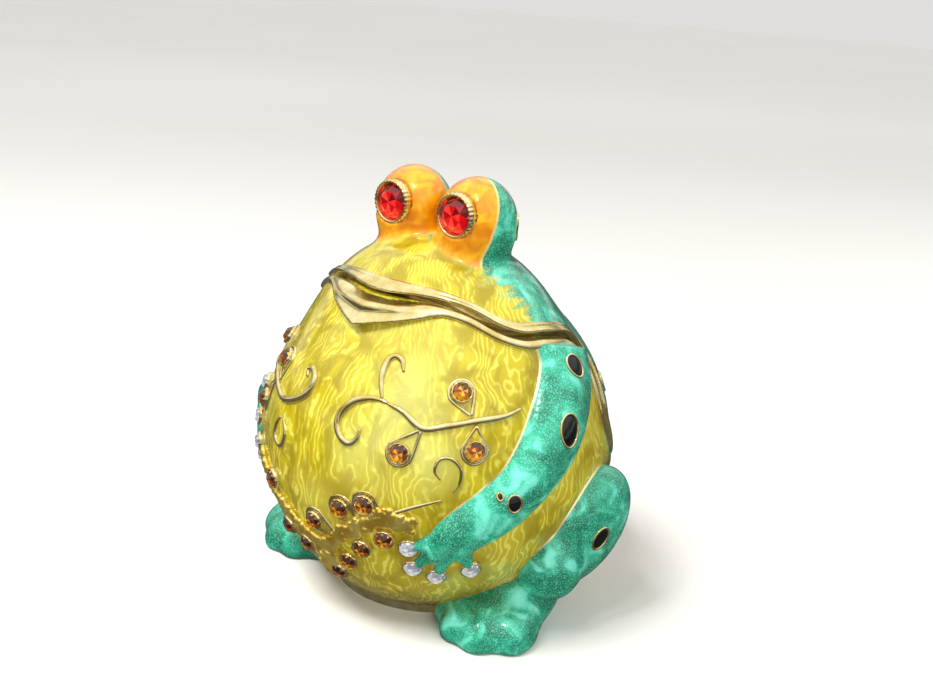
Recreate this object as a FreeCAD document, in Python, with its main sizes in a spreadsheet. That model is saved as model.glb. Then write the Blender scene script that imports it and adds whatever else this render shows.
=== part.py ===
"""A sitting-frog trinket box: a cast metal ball of a frog whose head and back lift on a hinge.

Frame: the origin is the centre of the base plate's underside, +Z is up, the frog faces -Y and its
left side is +X. All sizes are millimetres. Places on the round body are given as longitude (from
the front towards the frog's left) and latitude, in degrees, about the centre of the body ball.
"""
import FreeCAD
import Part
import Sketcher
import math
import os
from FreeCAD import Placement, Rotation, Vector

DIMENSIONS = {
    "body_radius": 21.2,
    "body_height": 18.5,
    "head_half_width": 18.4,
    "head_half_depth": 15.4,
    "head_half_height": 19.3,
    "head_forward": 1.0,
    "head_height": 24.4,
    "wall": 1.7,
    "floor_height": 2.8,
    "seam_front_height": 38.1,
    "seam_side_height": 34.9,
    "seam_drop_depth": 7.0,
    "seam_gap": 0.3,
    "lip_proud": 0.55,
    "lip_width": 0.85,
    "lip_flare": 5.6,
    "flange_thickness": 0.8,
    "flange_reach": 0.95,
    "flange_clearance": 0.15,
    "plate_radius": 12.0,
    "plate_height": 1.1,
    "hinge_depth": 21.95,
    "hinge_height": 15.0,
    "hinge_length": 11.0,
    "lid_knuckle_length": 4.6,
    "knuckle_radius": 1.2,
    "knuckle_gap": 0.15,
    "pin_radius": 0.5,
    "pin_clearance": 0.05,
    "magnet_radius": 1.5,
    "magnet_thickness": 1.1,
    "magnet_forward": 7.6,
    "eye_spacing": 4.8,
    "eye_half_width": 4.7,
    "eye_half_depth": 4.3,
    "eye_half_height": 4.9,
    "eye_forward": 0.9,
    "eye_height": 45.9,
    "eye_crystal_radius": 2.2,
    "eye_crystal_height": 46.8,
    "eye_crystal_forward": 4.7,
    "bezel_wall": 0.35,
    "bezel_depth": 1.3,
    "small_crystal_radius": 1.05,
    "small_crystal_crown": 0.65,
    "cup_wall": 0.18,
    "cup_height": 0.45,
    "arm_half_width": 3.0,
    "arm_proud": 2.1,
    "wire_radius": 0.3,
    "garland_radius": 0.5,
    "spot_rim": 0.3,
    "spot_proud": 0.2,
    "spot_sunk": 0.7,
    "haunch_length": 8.3,
    "haunch_width": 6.1,
    "haunch_thickness": 4.4,
    "toe_length": 7.0,
    "toe_width": 2.6,
    "toe_height": 3.0,
}

doc = FreeCAD.newDocument("frog_trinket_box")
sheet = doc.addObject("Spreadsheet::Sheet", "dims")
for row, (alias, value) in enumerate(DIMENSIONS.items(), 1):
    sheet.set(f"A{row}", alias)
    sheet.set(f"B{row}", str(value))
    sheet.setAlias(f"B{row}", alias)
doc.recompute()

nodes = []


def dim(alias):
    return float(getattr(sheet, alias))


# ---------------------------------------------------------------- small helpers

def add(kind, name, **sizes):
    """A document object whose sizes follow formulas on the sheet."""
    thing = doc.addObject(kind, name)
    for size, formula in sizes.items():
        thing.setExpression(size, formula)
    return thing


def put(thing, position, rotation=None):
    thing.Placement = Placement(position, rotation or Rotation())
    return thing


def lift(thing, x="0", y="0", z="0"):
    """Ties an object's place to the sheet."""
    thing.setExpression("Placement.Base.x", x)
    thing.setExpression("Placement.Base.y", y)
    thing.setExpression("Placement.Base.z", z)
    return thing


def fuse(name, shapes):
    both = doc.addObject("Part::MultiFuse", name)
    both.Shapes = shapes
    return both


def cut(name, base, tool):
    rest = doc.addObject("Part::Cut", name)
    rest.Base = base
    rest.Tool = tool
    return rest


def carve(name, base, tools):
    """Cuts several tools away one after the other, leaving the faces of the base unmerged."""
    for count, tool in enumerate(tools):
        base = cut(f"{name}_{count}", base, tool)
        base.Refine = False
    return base


def common(name, base, tool):
    shared = doc.addObject("Part::Common", name)
    shared.Base = base
    shared.Tool = tool
    return shared


def group(name, shapes):
    together = doc.addObject("Part::Compound", name)
    together.Links = shapes
    return together


def mirrored(name, source):
    """The same piece on the frog's other side."""
    other = doc.addObject("Part::Mirroring", name)
    other.Source = source
    other.Normal = Vector(1, 0, 0)
    return other


def node(label, thing):
    """Marks a finished sub-part, to be written under its label."""
    thing.Label = label
    nodes.append(thing)
    return thing


def box(name, low, high):
    """A block between two corners."""
    block = doc.addObject("Part::Box", name)
    block.Length = high[0] - low[0]
    block.Width = high[1] - low[1]
    block.Height = high[2] - low[2]
    return put(block, Vector(*low))


def outward(longitude, latitude):
    """The direction out of the body ball at a place on it."""
    east = math.radians(longitude)
    north = math.radians(latitude)
    across = math.cos(north)
    return Vector(across * math.sin(east), -across * math.cos(east), math.sin(north))


def on_ball(longitude, latitude, height=0.0):
    """A point at a height above the body ball, or above the cheek where the head stands out further."""
    centre = Vector(0, 0, dim("body_height"))
    away = outward(longitude, latitude)
    scale = Vector(1 / dim("head_half_width"), 1 / dim("head_half_depth"), 1 / dim("head_half_height"))
    start = centre - Vector(0, -dim("head_forward"), dim("head_height"))
    offset = Vector(start.x * scale.x, start.y * scale.y, start.z * scale.z)
    step = Vector(away.x * scale.x, away.y * scale.y, away.z * scale.z)
    inner = offset.dot(step)
    root = inner ** 2 - step.dot(step) * (offset.dot(offset) - 1)
    to_head = (math.sqrt(root) - inner) / step.dot(step) if root > 0 else 0
    return centre + away * (max(dim("body_radius"), to_head) + height)


def facing(direction):
    return Rotation(Vector(0, 0, 1), direction)


def seat(thing, longitude, latitude, height=0.0):
    """Stands an object on the ball, its own +Z pointing outward."""
    return put(thing, on_ball(longitude, latitude, height), facing(outward(longitude, latitude)))


# ---------------------------------------------------------------- the frog's outside and its inside

def frog_form(name, grow):
    """Body ball and head ball together, grown all round by a formula."""
    ball = lift(add("Part::Sphere", name + "_ball", Radius=f"dims.body_radius + {grow}"), z="dims.body_height")
    head = add("Part::Ellipsoid", name + "_head", Radius1=f"dims.head_half_height + {grow}",
               Radius2=f"dims.head_half_width + {grow}", Radius3=f"dims.head_half_depth + {grow}")
    lift(head, y="-dims.head_forward", z="dims.head_height")
    return fuse(name, [ball, head])


def above_seam(name, shift):
    """Everything above and behind the mouth seam, which runs level from the front, sinks along the
    cheeks, drops steeply down the flanks and levels out again towards the hinge."""
    front = dim("seam_front_height")
    side = dim("seam_side_height")
    drop = dim("seam_drop_depth")
    back = dim("hinge_height")
    profile = [
        (-30, front - 0.7), (-20, front - 0.6), (-13, front - 0.3), (-10.5, front + 0.2), (-8.6, front - 0.4),
        (-6.6, side + 1.2), (-4.2, side + 0.3), (-1, side), (drop - 3.8, side - 0.9), (drop - 1.2, side - 2.4),
        (drop, side - 5), (drop + 0.2, side - 10), (drop + 1.6, back + 6.5), (drop + 4.5, back + 2.6),
        (drop + 9, back + 0.6), (drop + 13, back + 0.1), (30, back),
    ]
    points = [Vector(0, y + shift, z + shift) for y, z in profile]
    curve = Part.BSplineCurve()
    curve.interpolate(points)
    far = [points[-1], Vector(0, points[-1].y, 70), Vector(0, points[0].y, 70), points[0]]
    edges = [curve.toShape()]
    for start, end in zip(far, far[1:]):
        edges.append(Part.makeLine(start, end))
    outline = doc.addObject("Part::Feature", name + "_outline")
    outline.Shape = Part.Face(Part.Wire(edges))
    block = doc.addObject("Part::Extrusion", name)
    block.Base = outline
    block.DirMode = "Custom"
    block.Dir = Vector(1, 0, 0)
    block.LengthFwd = 60
    block.Symmetric = True
    block.Solid = True
    return block


outside = frog_form("outside", "0")
lip_outside = frog_form("lip_outside", "dims.lip_proud")
inside = frog_form("inside", "-dims.wall")
flange_outside = frog_form("flange_outside", "-dims.wall - dims.flange_clearance")
flange_inside = frog_form("flange_inside", "-dims.wall - dims.flange_clearance - dims.flange_thickness")

half_gap = dim("seam_gap") / 2 + 0.15
lip = dim("lip_width")
base_side = above_seam("base_side", -half_gap)
lid_side = above_seam("lid_side", half_gap)
under_lower_lip = above_seam("under_lower_lip", -half_gap - lip)
over_upper_lip = above_seam("over_upper_lip", half_gap + lip)
flange_top = above_seam("flange_top", dim("flange_reach"))
flange_foot = above_seam("flange_foot", -half_gap - dim("flange_reach"))

ground = box("ground", (-40, -40, -20), (40, 40, dim("plate_height")))
floor_block = box("floor_block", (-40, -40, -20), (40, 40, dim("floor_height")))
cavity = cut("cavity", inside, floor_block)

hinge_y = dim("hinge_depth")
hinge_z = dim("hinge_height")
hinge_half = dim("hinge_length") / 2


def hinge_bar(name, radius, length, start):
    """A bar along the hinge axis, from a place on it."""
    bar = add("Part::Cylinder", name, Radius=radius, Height=length)
    bar.Placement.Rotation = Rotation(Vector(0, 0, 1), Vector(1, 0, 0))
    return lift(bar, x=start, y="dims.hinge_depth", z="dims.hinge_height")


hinge_relief = hinge_bar("hinge_relief", "dims.knuckle_radius + 0.12", "dims.hinge_length + 0.4",
                         "-dims.hinge_length / 2 - 0.2")
hinge_room = box("hinge_room", (-hinge_half - 0.4, 19, hinge_z - 3.4), (hinge_half + 0.4, 26, hinge_z + 3.4))

# ---------------------------------------------------------------- the two shells

base_solid = cut("base_solid", cut("base_round", outside, base_side), ground)
node("body_shell", cut("body_shell", cut("base_hollow", base_solid, cavity), hinge_relief))

magnet_y = -dim("magnet_forward")
lid_magnet = add("Part::Cylinder", "lid_magnet_disc", Radius="dims.magnet_radius",
                 Height="dims.magnet_thickness")
lift(lid_magnet, y="-dims.magnet_forward", z="dims.seam_front_height + 0.3")
boss = add("Part::Cylinder", "lid_boss_post", Radius="dims.magnet_radius + 0.5", Height="5")
lift(boss, y="-dims.magnet_forward", z="dims.seam_front_height + 0.3")
boss_inside = common("lid_boss_inside", boss, inside)
lid_round = common("lid_round", outside, lid_side)
lid_hollow = cut("lid_hollow", cut("lid_open", lid_round, cavity), hinge_relief)
lid_with_boss = fuse("lid_with_boss", [lid_hollow, boss_inside])
node("lid_shell", cut("lid_shell", lid_with_boss, lid_magnet))
node("lid_magnet", lid_magnet)

# ---------------------------------------------------------------- lips round the mouth and the locating flange

lip_skin = cut("lip_skin", lip_outside, outside)
lower_band = cut("lower_band", under_lower_lip, base_side)
upper_band = cut("upper_band", lid_side, over_upper_lip)
flare = add("Part::Ellipsoid", "chin_flare", Radius1="2.0", Radius2="dims.lip_flare", Radius3="3.3")
lift(flare, y="-12", z="dims.seam_front_height - 1.7")
flare_low = cut("flare_low", cut("flare_out", flare, outside), base_side)
lower_lip = common("lower_lip_plain", lip_skin, lower_band)
lower_lip_open = cut("lower_lip_open", fuse("lower_lip_flared", [lower_lip, flare_low]), hinge_room)
node("lower_lip_rim", lower_lip_open)
node("upper_lip_rim", cut("upper_lip_rim", common("upper_lip_plain", lip_skin, upper_band), hinge_room))

flange_lower = cut("flange_lower", inside, base_side)
flange_upper = common("flange_upper", flange_outside, base_side)
flange_full = fuse("flange_full", [flange_lower, flange_upper])
flange_band = cut("flange_band", flange_foot, flange_top)
flange_ring = common("flange_ring", cut("flange_skin", flange_full, flange_inside), flange_band)
notch = box("flange_notch", (-2.6, -20, dim("seam_front_height") - 0.5), (2.6, -4, 60))
hinge_notch = box("flange_hinge_notch", (-hinge_half - 1, 14, hinge_z), (hinge_half + 1, 26, hinge_z + 5))
flange_cut = cut("flange_cut", cut("flange_notched", flange_ring, notch), hinge_notch)
shelf_top = dim("seam_front_height") - 0.5
shelf = box("magnet_shelf", (-2, -13, shelf_top - 2), (2, magnet_y + 2, shelf_top))
shelf_in = common("magnet_shelf_inside", shelf, inside)
base_magnet = add("Part::Cylinder", "base_magnet_disc", Radius="dims.magnet_radius",
                  Height="dims.magnet_thickness")
lift(base_magnet, y="-dims.magnet_forward", z="dims.seam_front_height - 0.5 - dims.magnet_thickness")
flange_shelf = fuse("flange_shelf", [flange_cut, shelf_in])
node("inner_flange", cut("inner_flange", flange_shelf, base_magnet))
node("base_magnet", base_magnet)


# ---------------------------------------------------------------- hinge

def hinge_part(name, start, length, strap_low, strap_high):
    """A knuckle and the strap that holds it to the shell, bored for the pin."""
    barrel = hinge_bar(name + "_barrel", "dims.knuckle_radius", f"{length}", f"{start}")
    strap = box(name + "_strap", (start, 20, strap_low), (start + length, hinge_y + 0.5, strap_high))
    near = cut(name + "_near", fuse(name + "_solid", [barrel, strap]), outside)
    bore = "dims.pin_radius + dims.pin_clearance"
    hole = hinge_bar(name + "_hole", bore, "dims.hinge_length + 2", "-dims.hinge_length / 2 - 1")
    return cut(name, near, hole)


lid_half = dim("lid_knuckle_length") / 2
outer_length = hinge_half - lid_half - dim("knuckle_gap")
strap_reach = 3.2
left_knuckle = hinge_part("left_knuckle", hinge_half - outer_length, outer_length, hinge_z - strap_reach, hinge_z)
right_knuckle = hinge_part("right_knuckle", -hinge_half, outer_length, hinge_z - strap_reach, hinge_z)
node("hinge_base_knuckles", group("hinge_base_knuckles", [left_knuckle, right_knuckle]))
node("hinge_lid_knuckle", hinge_part("hinge_lid_knuckle", -lid_half, 2 * lid_half, hinge_z, hinge_z + strap_reach))

pin_body = doc.addObject("PartDesign::Body", "hinge_pin")
side_plane = [face for face in pin_body.Origin.OriginFeatures if face.Role == "YZ_Plane"][0]
pin_sketch = pin_body.newObject("Sketcher::SketchObject", "hinge_pin_section")
pin_sketch.AttachmentSupport = (side_plane, "")
pin_sketch.MapMode = "FlatFace"
pin_sketch.addGeometry(Part.Circle(Vector(0, 0, 0), Vector(0, 0, 1), dim("pin_radius")), False)
pin_sketch.addConstraint(Sketcher.Constraint("Coincident", 0, 3, -1, 1))
pin_size = pin_sketch.addConstraint(Sketcher.Constraint("Radius", 0, dim("pin_radius")))
pin_sketch.setExpression(f"Constraints[{pin_size}]", "dims.pin_radius")
pin_pad = pin_body.newObject("PartDesign::Pad", "hinge_pin_length")
pin_pad.Profile = pin_sketch
pin_pad.setExpression("Length", "dims.hinge_length")
pin_pad.SideType = "Symmetric"
lift(pin_body, y="dims.hinge_depth", z="dims.hinge_height")
node("hinge_pin", pin_body)

# ---------------------------------------------------------------- base plate under the belly

plate_body = doc.addObject("PartDesign::Body", "base_plate")
upright_plane = [face for face in plate_body.Origin.OriginFeatures if face.Role == "XZ_Plane"][0]
plate_sketch = plate_body.newObject("Sketcher::SketchObject", "base_plate_section")
plate_sketch.AttachmentSupport = (upright_plane, "")
plate_sketch.MapMode = "FlatFace"
corners = [(0, 0), (dim("plate_radius"), 0), (dim("plate_radius"), 0.4),
           (dim("plate_radius") + 0.3, dim("plate_height")), (0, dim("plate_height"))]
for start, end in zip(corners, corners[1:] + corners[:1]):
    plate_sketch.addGeometry(Part.LineSegment(Vector(*start, 0), Vector(*end, 0)), False)
for edge in range(len(corners)):
    plate_sketch.addConstraint(Sketcher.Constraint("Coincident", edge, 2, (edge + 1) % len(corners), 1))
plate_turn = plate_body.newObject("PartDesign::Revolution", "base_plate_turned")
plate_turn.Profile = plate_sketch
plate_turn.ReferenceAxis = (plate_sketch, ["V_Axis"])
plate_turn.Angle = 360
node("base_plate", plate_body)

# ---------------------------------------------------------------- enamel spots

def spots(name, places):
    """Oval enamel spots let into a surface: black discs, their gold rims and the room they need.
    Each place is (point on the surface, outward direction, half width, half length)."""
    discs = []
    rims = []
    rooms = []
    for count, (point, direction, half_width, half_length) in enumerate(places):
        label = f"{name}_{count}"
        turn = facing(direction)

        def oval(part, grow, low, high):
            face = doc.addObject("Part::Feature", f"{label}_{part}")
            ring = Part.Ellipse(Vector(0, 0, low), half_length + grow, half_width + grow)
            face.Shape = Part.Face(Part.Wire(ring.toShape())).extrude(Vector(0, 0, high - low))
            return put(face, point, turn)

        sunk = -dim("spot_sunk")
        proud = dim("spot_proud")
        disc = oval("black", 0, sunk, proud * 0.6)
        whole = oval("gold", dim("spot_rim"), sunk, proud)
        room = oval("room", dim("spot_rim"), sunk, proud + 2)
        discs.append(disc)
        rims.append(cut(f"{label}_rim", whole, oval("hole", 0, sunk - 1, proud + 1)))
        rooms.append(room)
    return {
        "disc": group(name + "_discs", discs),
        "rim": group(name + "_rims", rims),
        "rooms": rooms,
    }


# ---------------------------------------------------------------- eyes

DOME_SPOT = (124, -5)


def eye(side, sign):
    """Dome with its flared neck, coin-edged bezel and round crystal; sign is +1 on the frog's left."""
    x = f"{sign} * dims.eye_spacing"
    ball = add("Part::Ellipsoid", side + "_eye_ball", Radius1="dims.eye_half_height",
               Radius2="dims.eye_half_width", Radius3="dims.eye_half_depth")
    lift(ball, x=x, y="-dims.eye_forward", z="dims.eye_height")
    neck = lift(add("Part::Cone", side + "_eye_neck", Radius1="dims.eye_half_depth",
                    Radius2="dims.eye_half_depth * 0.88", Height="5"), x=x, y="-dims.eye_forward",
                z="dims.eye_height - 7")
    forward = Rotation(Vector(0, 0, 1), Vector(0, -1, 0))
    middle = lift(box(side + "_eye_half", (0, -20, 30), (20, 20, 60)), x="0" if sign > 0 else "-20", y="-20", z="30")
    half = common(side + "_eye_inner", fuse(side + "_eye_blank", [ball, neck]), middle)
    head = cut(side + "_eye_clear", half, outside)

    def disc(name, radius, length, start):
        bar = add("Part::Cylinder", side + name, Radius=radius, Height=length)
        bar.Placement.Rotation = forward
        return lift(bar, x=x, y=start, z="dims.eye_crystal_height")

    seat_hole = disc("_eye_seat", "dims.eye_crystal_radius + dims.bezel_wall", "4",
                     "-dims.eye_crystal_forward + 0.8")
    middle_of_eye = Vector(sign * dim("eye_spacing"), -dim("eye_forward"), dim("eye_height"))
    around = outward(sign * DOME_SPOT[0], DOME_SPOT[1])
    across = Vector(around.x / dim("eye_half_width"), around.y / dim("eye_half_depth"),
                    around.z / dim("eye_half_height"))
    spot_at = middle_of_eye + around * (1 / across.Length)
    spot_parts = spots(side + "_eye_spot", [(spot_at, around, 0.9, 1.4)])
    dome = cut(side + "_eye_seated", head, seat_hole)
    node(side + "_eye_dome", carve(side + "_eye_dome", dome, spot_parts["rooms"]))
    node(side + "_eye_spot", spot_parts["disc"])
    node(side + "_eye_spot_rim", spot_parts["rim"])
    outer = disc("_bezel_outer", "dims.eye_crystal_radius + dims.bezel_wall", "dims.bezel_depth",
                 "-dims.eye_crystal_forward + 0.8")
    inner = disc("_bezel_inner", "dims.eye_crystal_radius", "4", "-dims.eye_crystal_forward + 0.5")
    node(side + "_eye_bezel", cut(side + "_eye_bezel", outer, inner))
    girdle = disc("_crystal_girdle", "dims.eye_crystal_radius", "0.6",
                  "-dims.eye_crystal_forward + 0.5")
    crown = add("Part::Cone", side + "_crystal_crown", Radius1="dims.eye_crystal_radius",
                Radius2="dims.eye_crystal_radius * 0.55", Height="1.1")
    crown.Placement.Rotation = forward
    lift(crown, x=x, y="-dims.eye_crystal_forward - 0.1", z="dims.eye_crystal_height")
    node(side + "_eye_crystal", fuse(side + "_eye_crystal", [girdle, crown]))


eye("left", 1)
eye("right", -1)

# ---------------------------------------------------------------- arms

LEFT_ARM = [(95, 47, 1.6), (93.5, 38, 1.65), (88, 28.5, 1.6), (80.5, 18.8, 1.5), (73.5, 11, 1.3),
            (66.5, 4, 1.15), (58.5, -2.5, 1.1), (51, -7.5, 1.0), (47, -9.5, 0.8)]
RIGHT_ARM = [(-97, 46, 1.3), (-95, 37, 1.2), (-92, 28, 1.05), (-88, 20, 0.95), (-82, 13, 0.85),
             (-76, 9.5, 0.75), (-70, 7, 0.65), (-65, 6, 0.55), (-61, 5.5, 0.45)]


def arm(name, stations):
    """A tube of changing width that lies along the ball, half sunk in it, ending under the lip."""
    centres = []
    for longitude, latitude, fullness in stations:
        crest = dim("arm_proud") * min(1, fullness)
        centres.append(on_ball(longitude, latitude, crest - dim("arm_half_width") * fullness))
    rings = []
    for place, (longitude, latitude, fullness) in enumerate(stations):
        before = centres[max(place - 1, 0)]
        after = centres[min(place + 1, len(centres) - 1)]
        along = after - before
        away = outward(longitude, latitude)
        ring = add("Part::Circle", f"{name}_ring_{place}", Radius=f"dims.arm_half_width * {fullness}")
        rings.append(put(ring, centres[place], Rotation(away, along.cross(away), along, "ZXY")))
    tube = doc.addObject("Part::Loft", name + "_tube")
    tube.Sections = rings
    tube.Solid = True
    fullness = stations[-1][2]
    hand = add("Part::Sphere", name + "_hand", Radius=f"dims.arm_half_width * {fullness} * 1.12")
    put(hand, centres[-1])
    return carve(name + "_clear", fuse(name + "_limb", [tube, hand]), outside.Shapes + [under_lower_lip])


def spotted(label, limb, spot_name, places):
    """Lets a set of spots into a limb and lists limb, spots and rims as nodes."""
    parts = spots(spot_name, places)
    node(label, carve(label, limb, parts["rooms"]))
    node(spot_name + "s", parts["disc"])
    node(spot_name + "_rims", parts["rim"])


def on_limb(longitude, latitude, half_width, half_length, crest=1.0):
    """A spot on the crest of an arm; crest is the arm's height there, as a share of its full height."""
    height = dim("arm_proud") * crest - 0.1
    return (on_ball(longitude, latitude, height), outward(longitude, latitude), half_width, half_length)


left_arm = arm("left_arm", LEFT_ARM)
spotted("left_arm", left_arm, "left_arm_spot",
        [on_limb(93, 35.5, 0.9, 1.3), on_limb(82, 19, 1.2, 1.8), on_limb(64, 1.8, 0.75, 0.9)])
right_arm = arm("right_arm", RIGHT_ARM)
spotted("right_arm", right_arm, "right_arm_spot",
        [on_limb(-94, 35, 0.9, 1.3), on_limb(-87.5, 19.3, 1.0, 1.5, 0.93), on_limb(-76, 9.5, 0.7, 0.8, 0.75)])

# ---------------------------------------------------------------- feet and haunches

ANKLE = Vector(16.8, -0.5, 0)
TOE_TIPS = [Vector(10.2, -9.8, 0), Vector(13.1, -12.1, 0), Vector(16.6, -12.2, 0), Vector(20.0, -9.6, 0)]


def lump(name, middle, turn, along, across, up):
    """An ellipsoid with its own half sizes along its length, across it and upwards."""
    blob = add("Part::Ellipsoid", name, Radius1=up, Radius2=along, Radius3=across)
    return put(blob, middle, turn)


def heading(direction, nose_down=0.0):
    """Turns +X to a direction over the floor, then tips it downwards."""
    angle = math.degrees(math.atan2(direction.y, direction.x))
    return Rotation(Vector(0, 0, 1), angle) * Rotation(Vector(0, 1, 0), nose_down)


foot_line = Vector(-1.6, -7, 0)
lumps = [lump("instep", Vector(15.9, -3.6, 2.8), heading(foot_line, 24), "7.2", "4.2", "4.2")]
for count, tip in enumerate(TOE_TIPS):
    toward = tip - ANKLE
    reach = dim("toe_length") / 2
    middle = tip - toward.normalize() * reach + Vector(0, 0, 1.0)
    lumps.append(lump(f"toe_{count}", middle, heading(toward, 6), "dims.toe_length / 2", "dims.toe_width",
                      "dims.toe_height"))
foot_plain = fuse("foot_plain", lumps)
floor_cut = box("floor_cut", (-40, -40, -20), (40, 40, 0))
plate_room = add("Part::Cylinder", "plate_room", Radius="dims.plate_radius + 0.32",
                 Height="dims.plate_height + 0.1")
foot_flat = cut("foot_flat", foot_plain, floor_cut)
left_foot = cut("left_foot_free", cut("left_foot_clear", foot_flat, outside), plate_room)
node("left_foot", left_foot)
node("right_foot", mirrored("right_foot", left_foot))

haunch_ball = add("Part::Ellipsoid", "haunch_ball", Radius1="dims.haunch_length", Radius2="dims.haunch_thickness",
                  Radius3="dims.haunch_width")
HAUNCH_MIDDLE = Vector(19.5, 3.4, 11.4)
HAUNCH_TURN = Rotation(Vector(-0.92, 0.33, -0.21), 38.5)
put(haunch_ball, HAUNCH_MIDDLE, HAUNCH_TURN)
haunch_free = cut("haunch_free", cut("haunch_clear", haunch_ball, outside), foot_flat)
haunch_out = Vector(0.92, -0.4, 0.01).normalize()
HAUNCH_SPOT = [(Vector(23.6, 2.05, 11.9), haunch_out, 0.8, 1.3)]
spotted("left_haunch", haunch_free, "left_haunch_spot", HAUNCH_SPOT)
for side_part in ("left_haunch", "left_haunch_spots", "left_haunch_spot_rims"):
    source = [thing for thing in nodes if thing.Label == side_part][0]
    other = side_part.replace("left", "right")
    node(other, mirrored(other, source))

# ---------------------------------------------------------------- crystals in cups, and gold relief wires


def crystals(name, places):
    """A set of small round crystals, each with a flat table, seated on the ball."""
    stones = []
    for count, (longitude, latitude) in enumerate(places):
        stone = add("Part::Cone", f"{name}_{count}", Radius1="dims.small_crystal_radius",
                    Radius2="dims.small_crystal_radius * 0.55", Height="dims.small_crystal_crown")
        stones.append(seat(stone, longitude, latitude, dim("cup_height")))
    return node(name, group(name, stones))


def cups(name, places):
    """Thin-walled gold cups that hold the crystals, standing on the ball."""
    made = []
    for count, (longitude, latitude) in enumerate(places):
        wall = "dims.small_crystal_radius + dims.cup_wall"
        cup = add("Part::Cylinder", f"{name}_cup_{count}", Radius=wall, Height="dims.cup_height + 0.2")
        seat(cup, longitude, latitude, 0.04)
        well = add("Part::Cylinder", f"{name}_well_{count}", Radius="dims.small_crystal_radius", Height="2")
        seat(well, longitude, latitude, dim("cup_height"))
        ball_side = cut(f"{name}_cut_{count}", cup, well)
        made.append(ball_side)
    return made


def wire(name, places, radius):
    """A round gold wire laid along the ball through places on it."""
    lift_by = dim(radius)
    points = [on_ball(longitude, latitude, lift_by + 0.02) for longitude, latitude in places]
    curve = Part.BSplineCurve()
    curve.interpolate(points)
    spine = doc.addObject("Part::Feature", name + "_line")
    spine.Shape = Part.Wire(curve.toShape())
    section = add("Part::Circle", name + "_section", Radius=f"dims.{radius}")
    put(section, points[0], facing(curve.tangent(curve.FirstParameter)[0]))
    sweep = doc.addObject("Part::Sweep", name)
    sweep.Sections = [section]
    sweep.Spine = (spine, ["Edge1"])
    sweep.Solid = True
    return sweep


LEFT_LEAF_CRYSTALS = [(47.6, 32.9), (51.6, 16.1), (29.3, 14.4)]
LEFT_STEM = [(68, 27.4), (61.8, 25.7), (52.4, 24.7), (43.6, 23.3), (35.6, 22.1), (29.1, 26), (23.2, 28)]
LEFT_CURL_UP = [(21.2, 30.3), (19, 35), (19.4, 40.3), (22, 42.1), (25, 41), (26.5, 37.7)]
LEFT_CURL_DOWN = [(20, 28.6), (16.1, 28.3), (11.4, 26.4), (8.3, 23), (7.7, 19.1), (9.8, 15.7), (13.2, 14.4),
                  (15.5, 16.5), (15.8, 19.2)]
LEFT_HOOK = [(41.8, 7.7), (40, 10.3), (41.3, 13.6), (44.8, 13.9), (47.6, 11), (47.4, 6.7), (45.7, 4.1)]
RIGHT_LEAF_CRYSTALS = [(-31.5, 28.8), (-48, 32), (-37.8, 12.5)]
RIGHT_STEM = [(-11.9, 28.5), (-13, 30.6), (-10.3, 31.2), (-7.6, 28.6), (-8.5, 24.1), (-13.8, 20.4), (-21.1, 18.6),
              (-29.7, 20.8), (-39, 23), (-52, 23)]
RIGHT_LOOP = [(-17.6, 13.2), (-14.6, 10.8), (-14.3, 7.2), (-16.5, 4.6), (-20.3, 6.2), (-20.8, 10.2), (-18.9, 13.2)]

left_scroll = cups("belly_scroll_left", LEFT_LEAF_CRYSTALS)
for part_name, places in (("stem", LEFT_STEM), ("curl_up", LEFT_CURL_UP), ("curl_down", LEFT_CURL_DOWN),
                          ("hook", LEFT_HOOK)):
    left_scroll.append(wire("left_scroll_" + part_name, places, "wire_radius"))
node("belly_scroll_left", group("belly_scroll_left", left_scroll))
crystals("belly_crystals_left", LEFT_LEAF_CRYSTALS)
right_scroll = cups("belly_scroll_right", RIGHT_LEAF_CRYSTALS)
for part_name, places in (("stem", RIGHT_STEM), ("loop", RIGHT_LOOP)):
    right_scroll.append(wire("right_scroll_" + part_name, places, "wire_radius"))
node("belly_scroll_right", group("belly_scroll_right", right_scroll))
crystals("belly_crystals_right", RIGHT_LEAF_CRYSTALS)

GARLAND_CRYSTALS = [(20, -2.6), (12, -5.8), (1.7, -13.4), (26.2, -13), (18.6, -18.4), (12.8, -25.4), (6.1, -33.2),
                    (-5.7, -25.4), (-15.2, -22.6), (-20, -7.6)]
GARLAND_NEAR = [(34.6, -1.2), (27, -5), (21.2, -8.1), (14.7, -12.9), (7.9, -19.2), (5.4, -22.2)]
GARLAND_FAR = [(2.4, -22.2), (-5.6, -19.6), (-14, -15.6), (-21, -12.6), (-28, -7.5), (-33, -4)]
garland = cups("garland", GARLAND_CRYSTALS)
garland.append(wire("garland_near", GARLAND_NEAR, "garland_radius"))
garland.append(wire("garland_far", GARLAND_FAR, "garland_radius"))
node("garland", group("garland", garland))
crystals("garland_crystals", GARLAND_CRYSTALS)

LEFT_FINGERTIPS = [(33.6, -15), (35, -22.9), (42.7, -26), (53.5, -23)]
RIGHT_FINGERTIPS = [(-47.5, 14.5), (-42.5, 4.5), (-41, -3.8), (-46.5, -10.5)]
FINGER_CLEAR_OF_CUP = 4.4
FINGER_CLEAR_OF_HAND = 8.0
LEFT_HAND_MIDDLE = (47, -9.5)
RIGHT_HAND_MIDDLE = (-61, 5.5)


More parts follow.
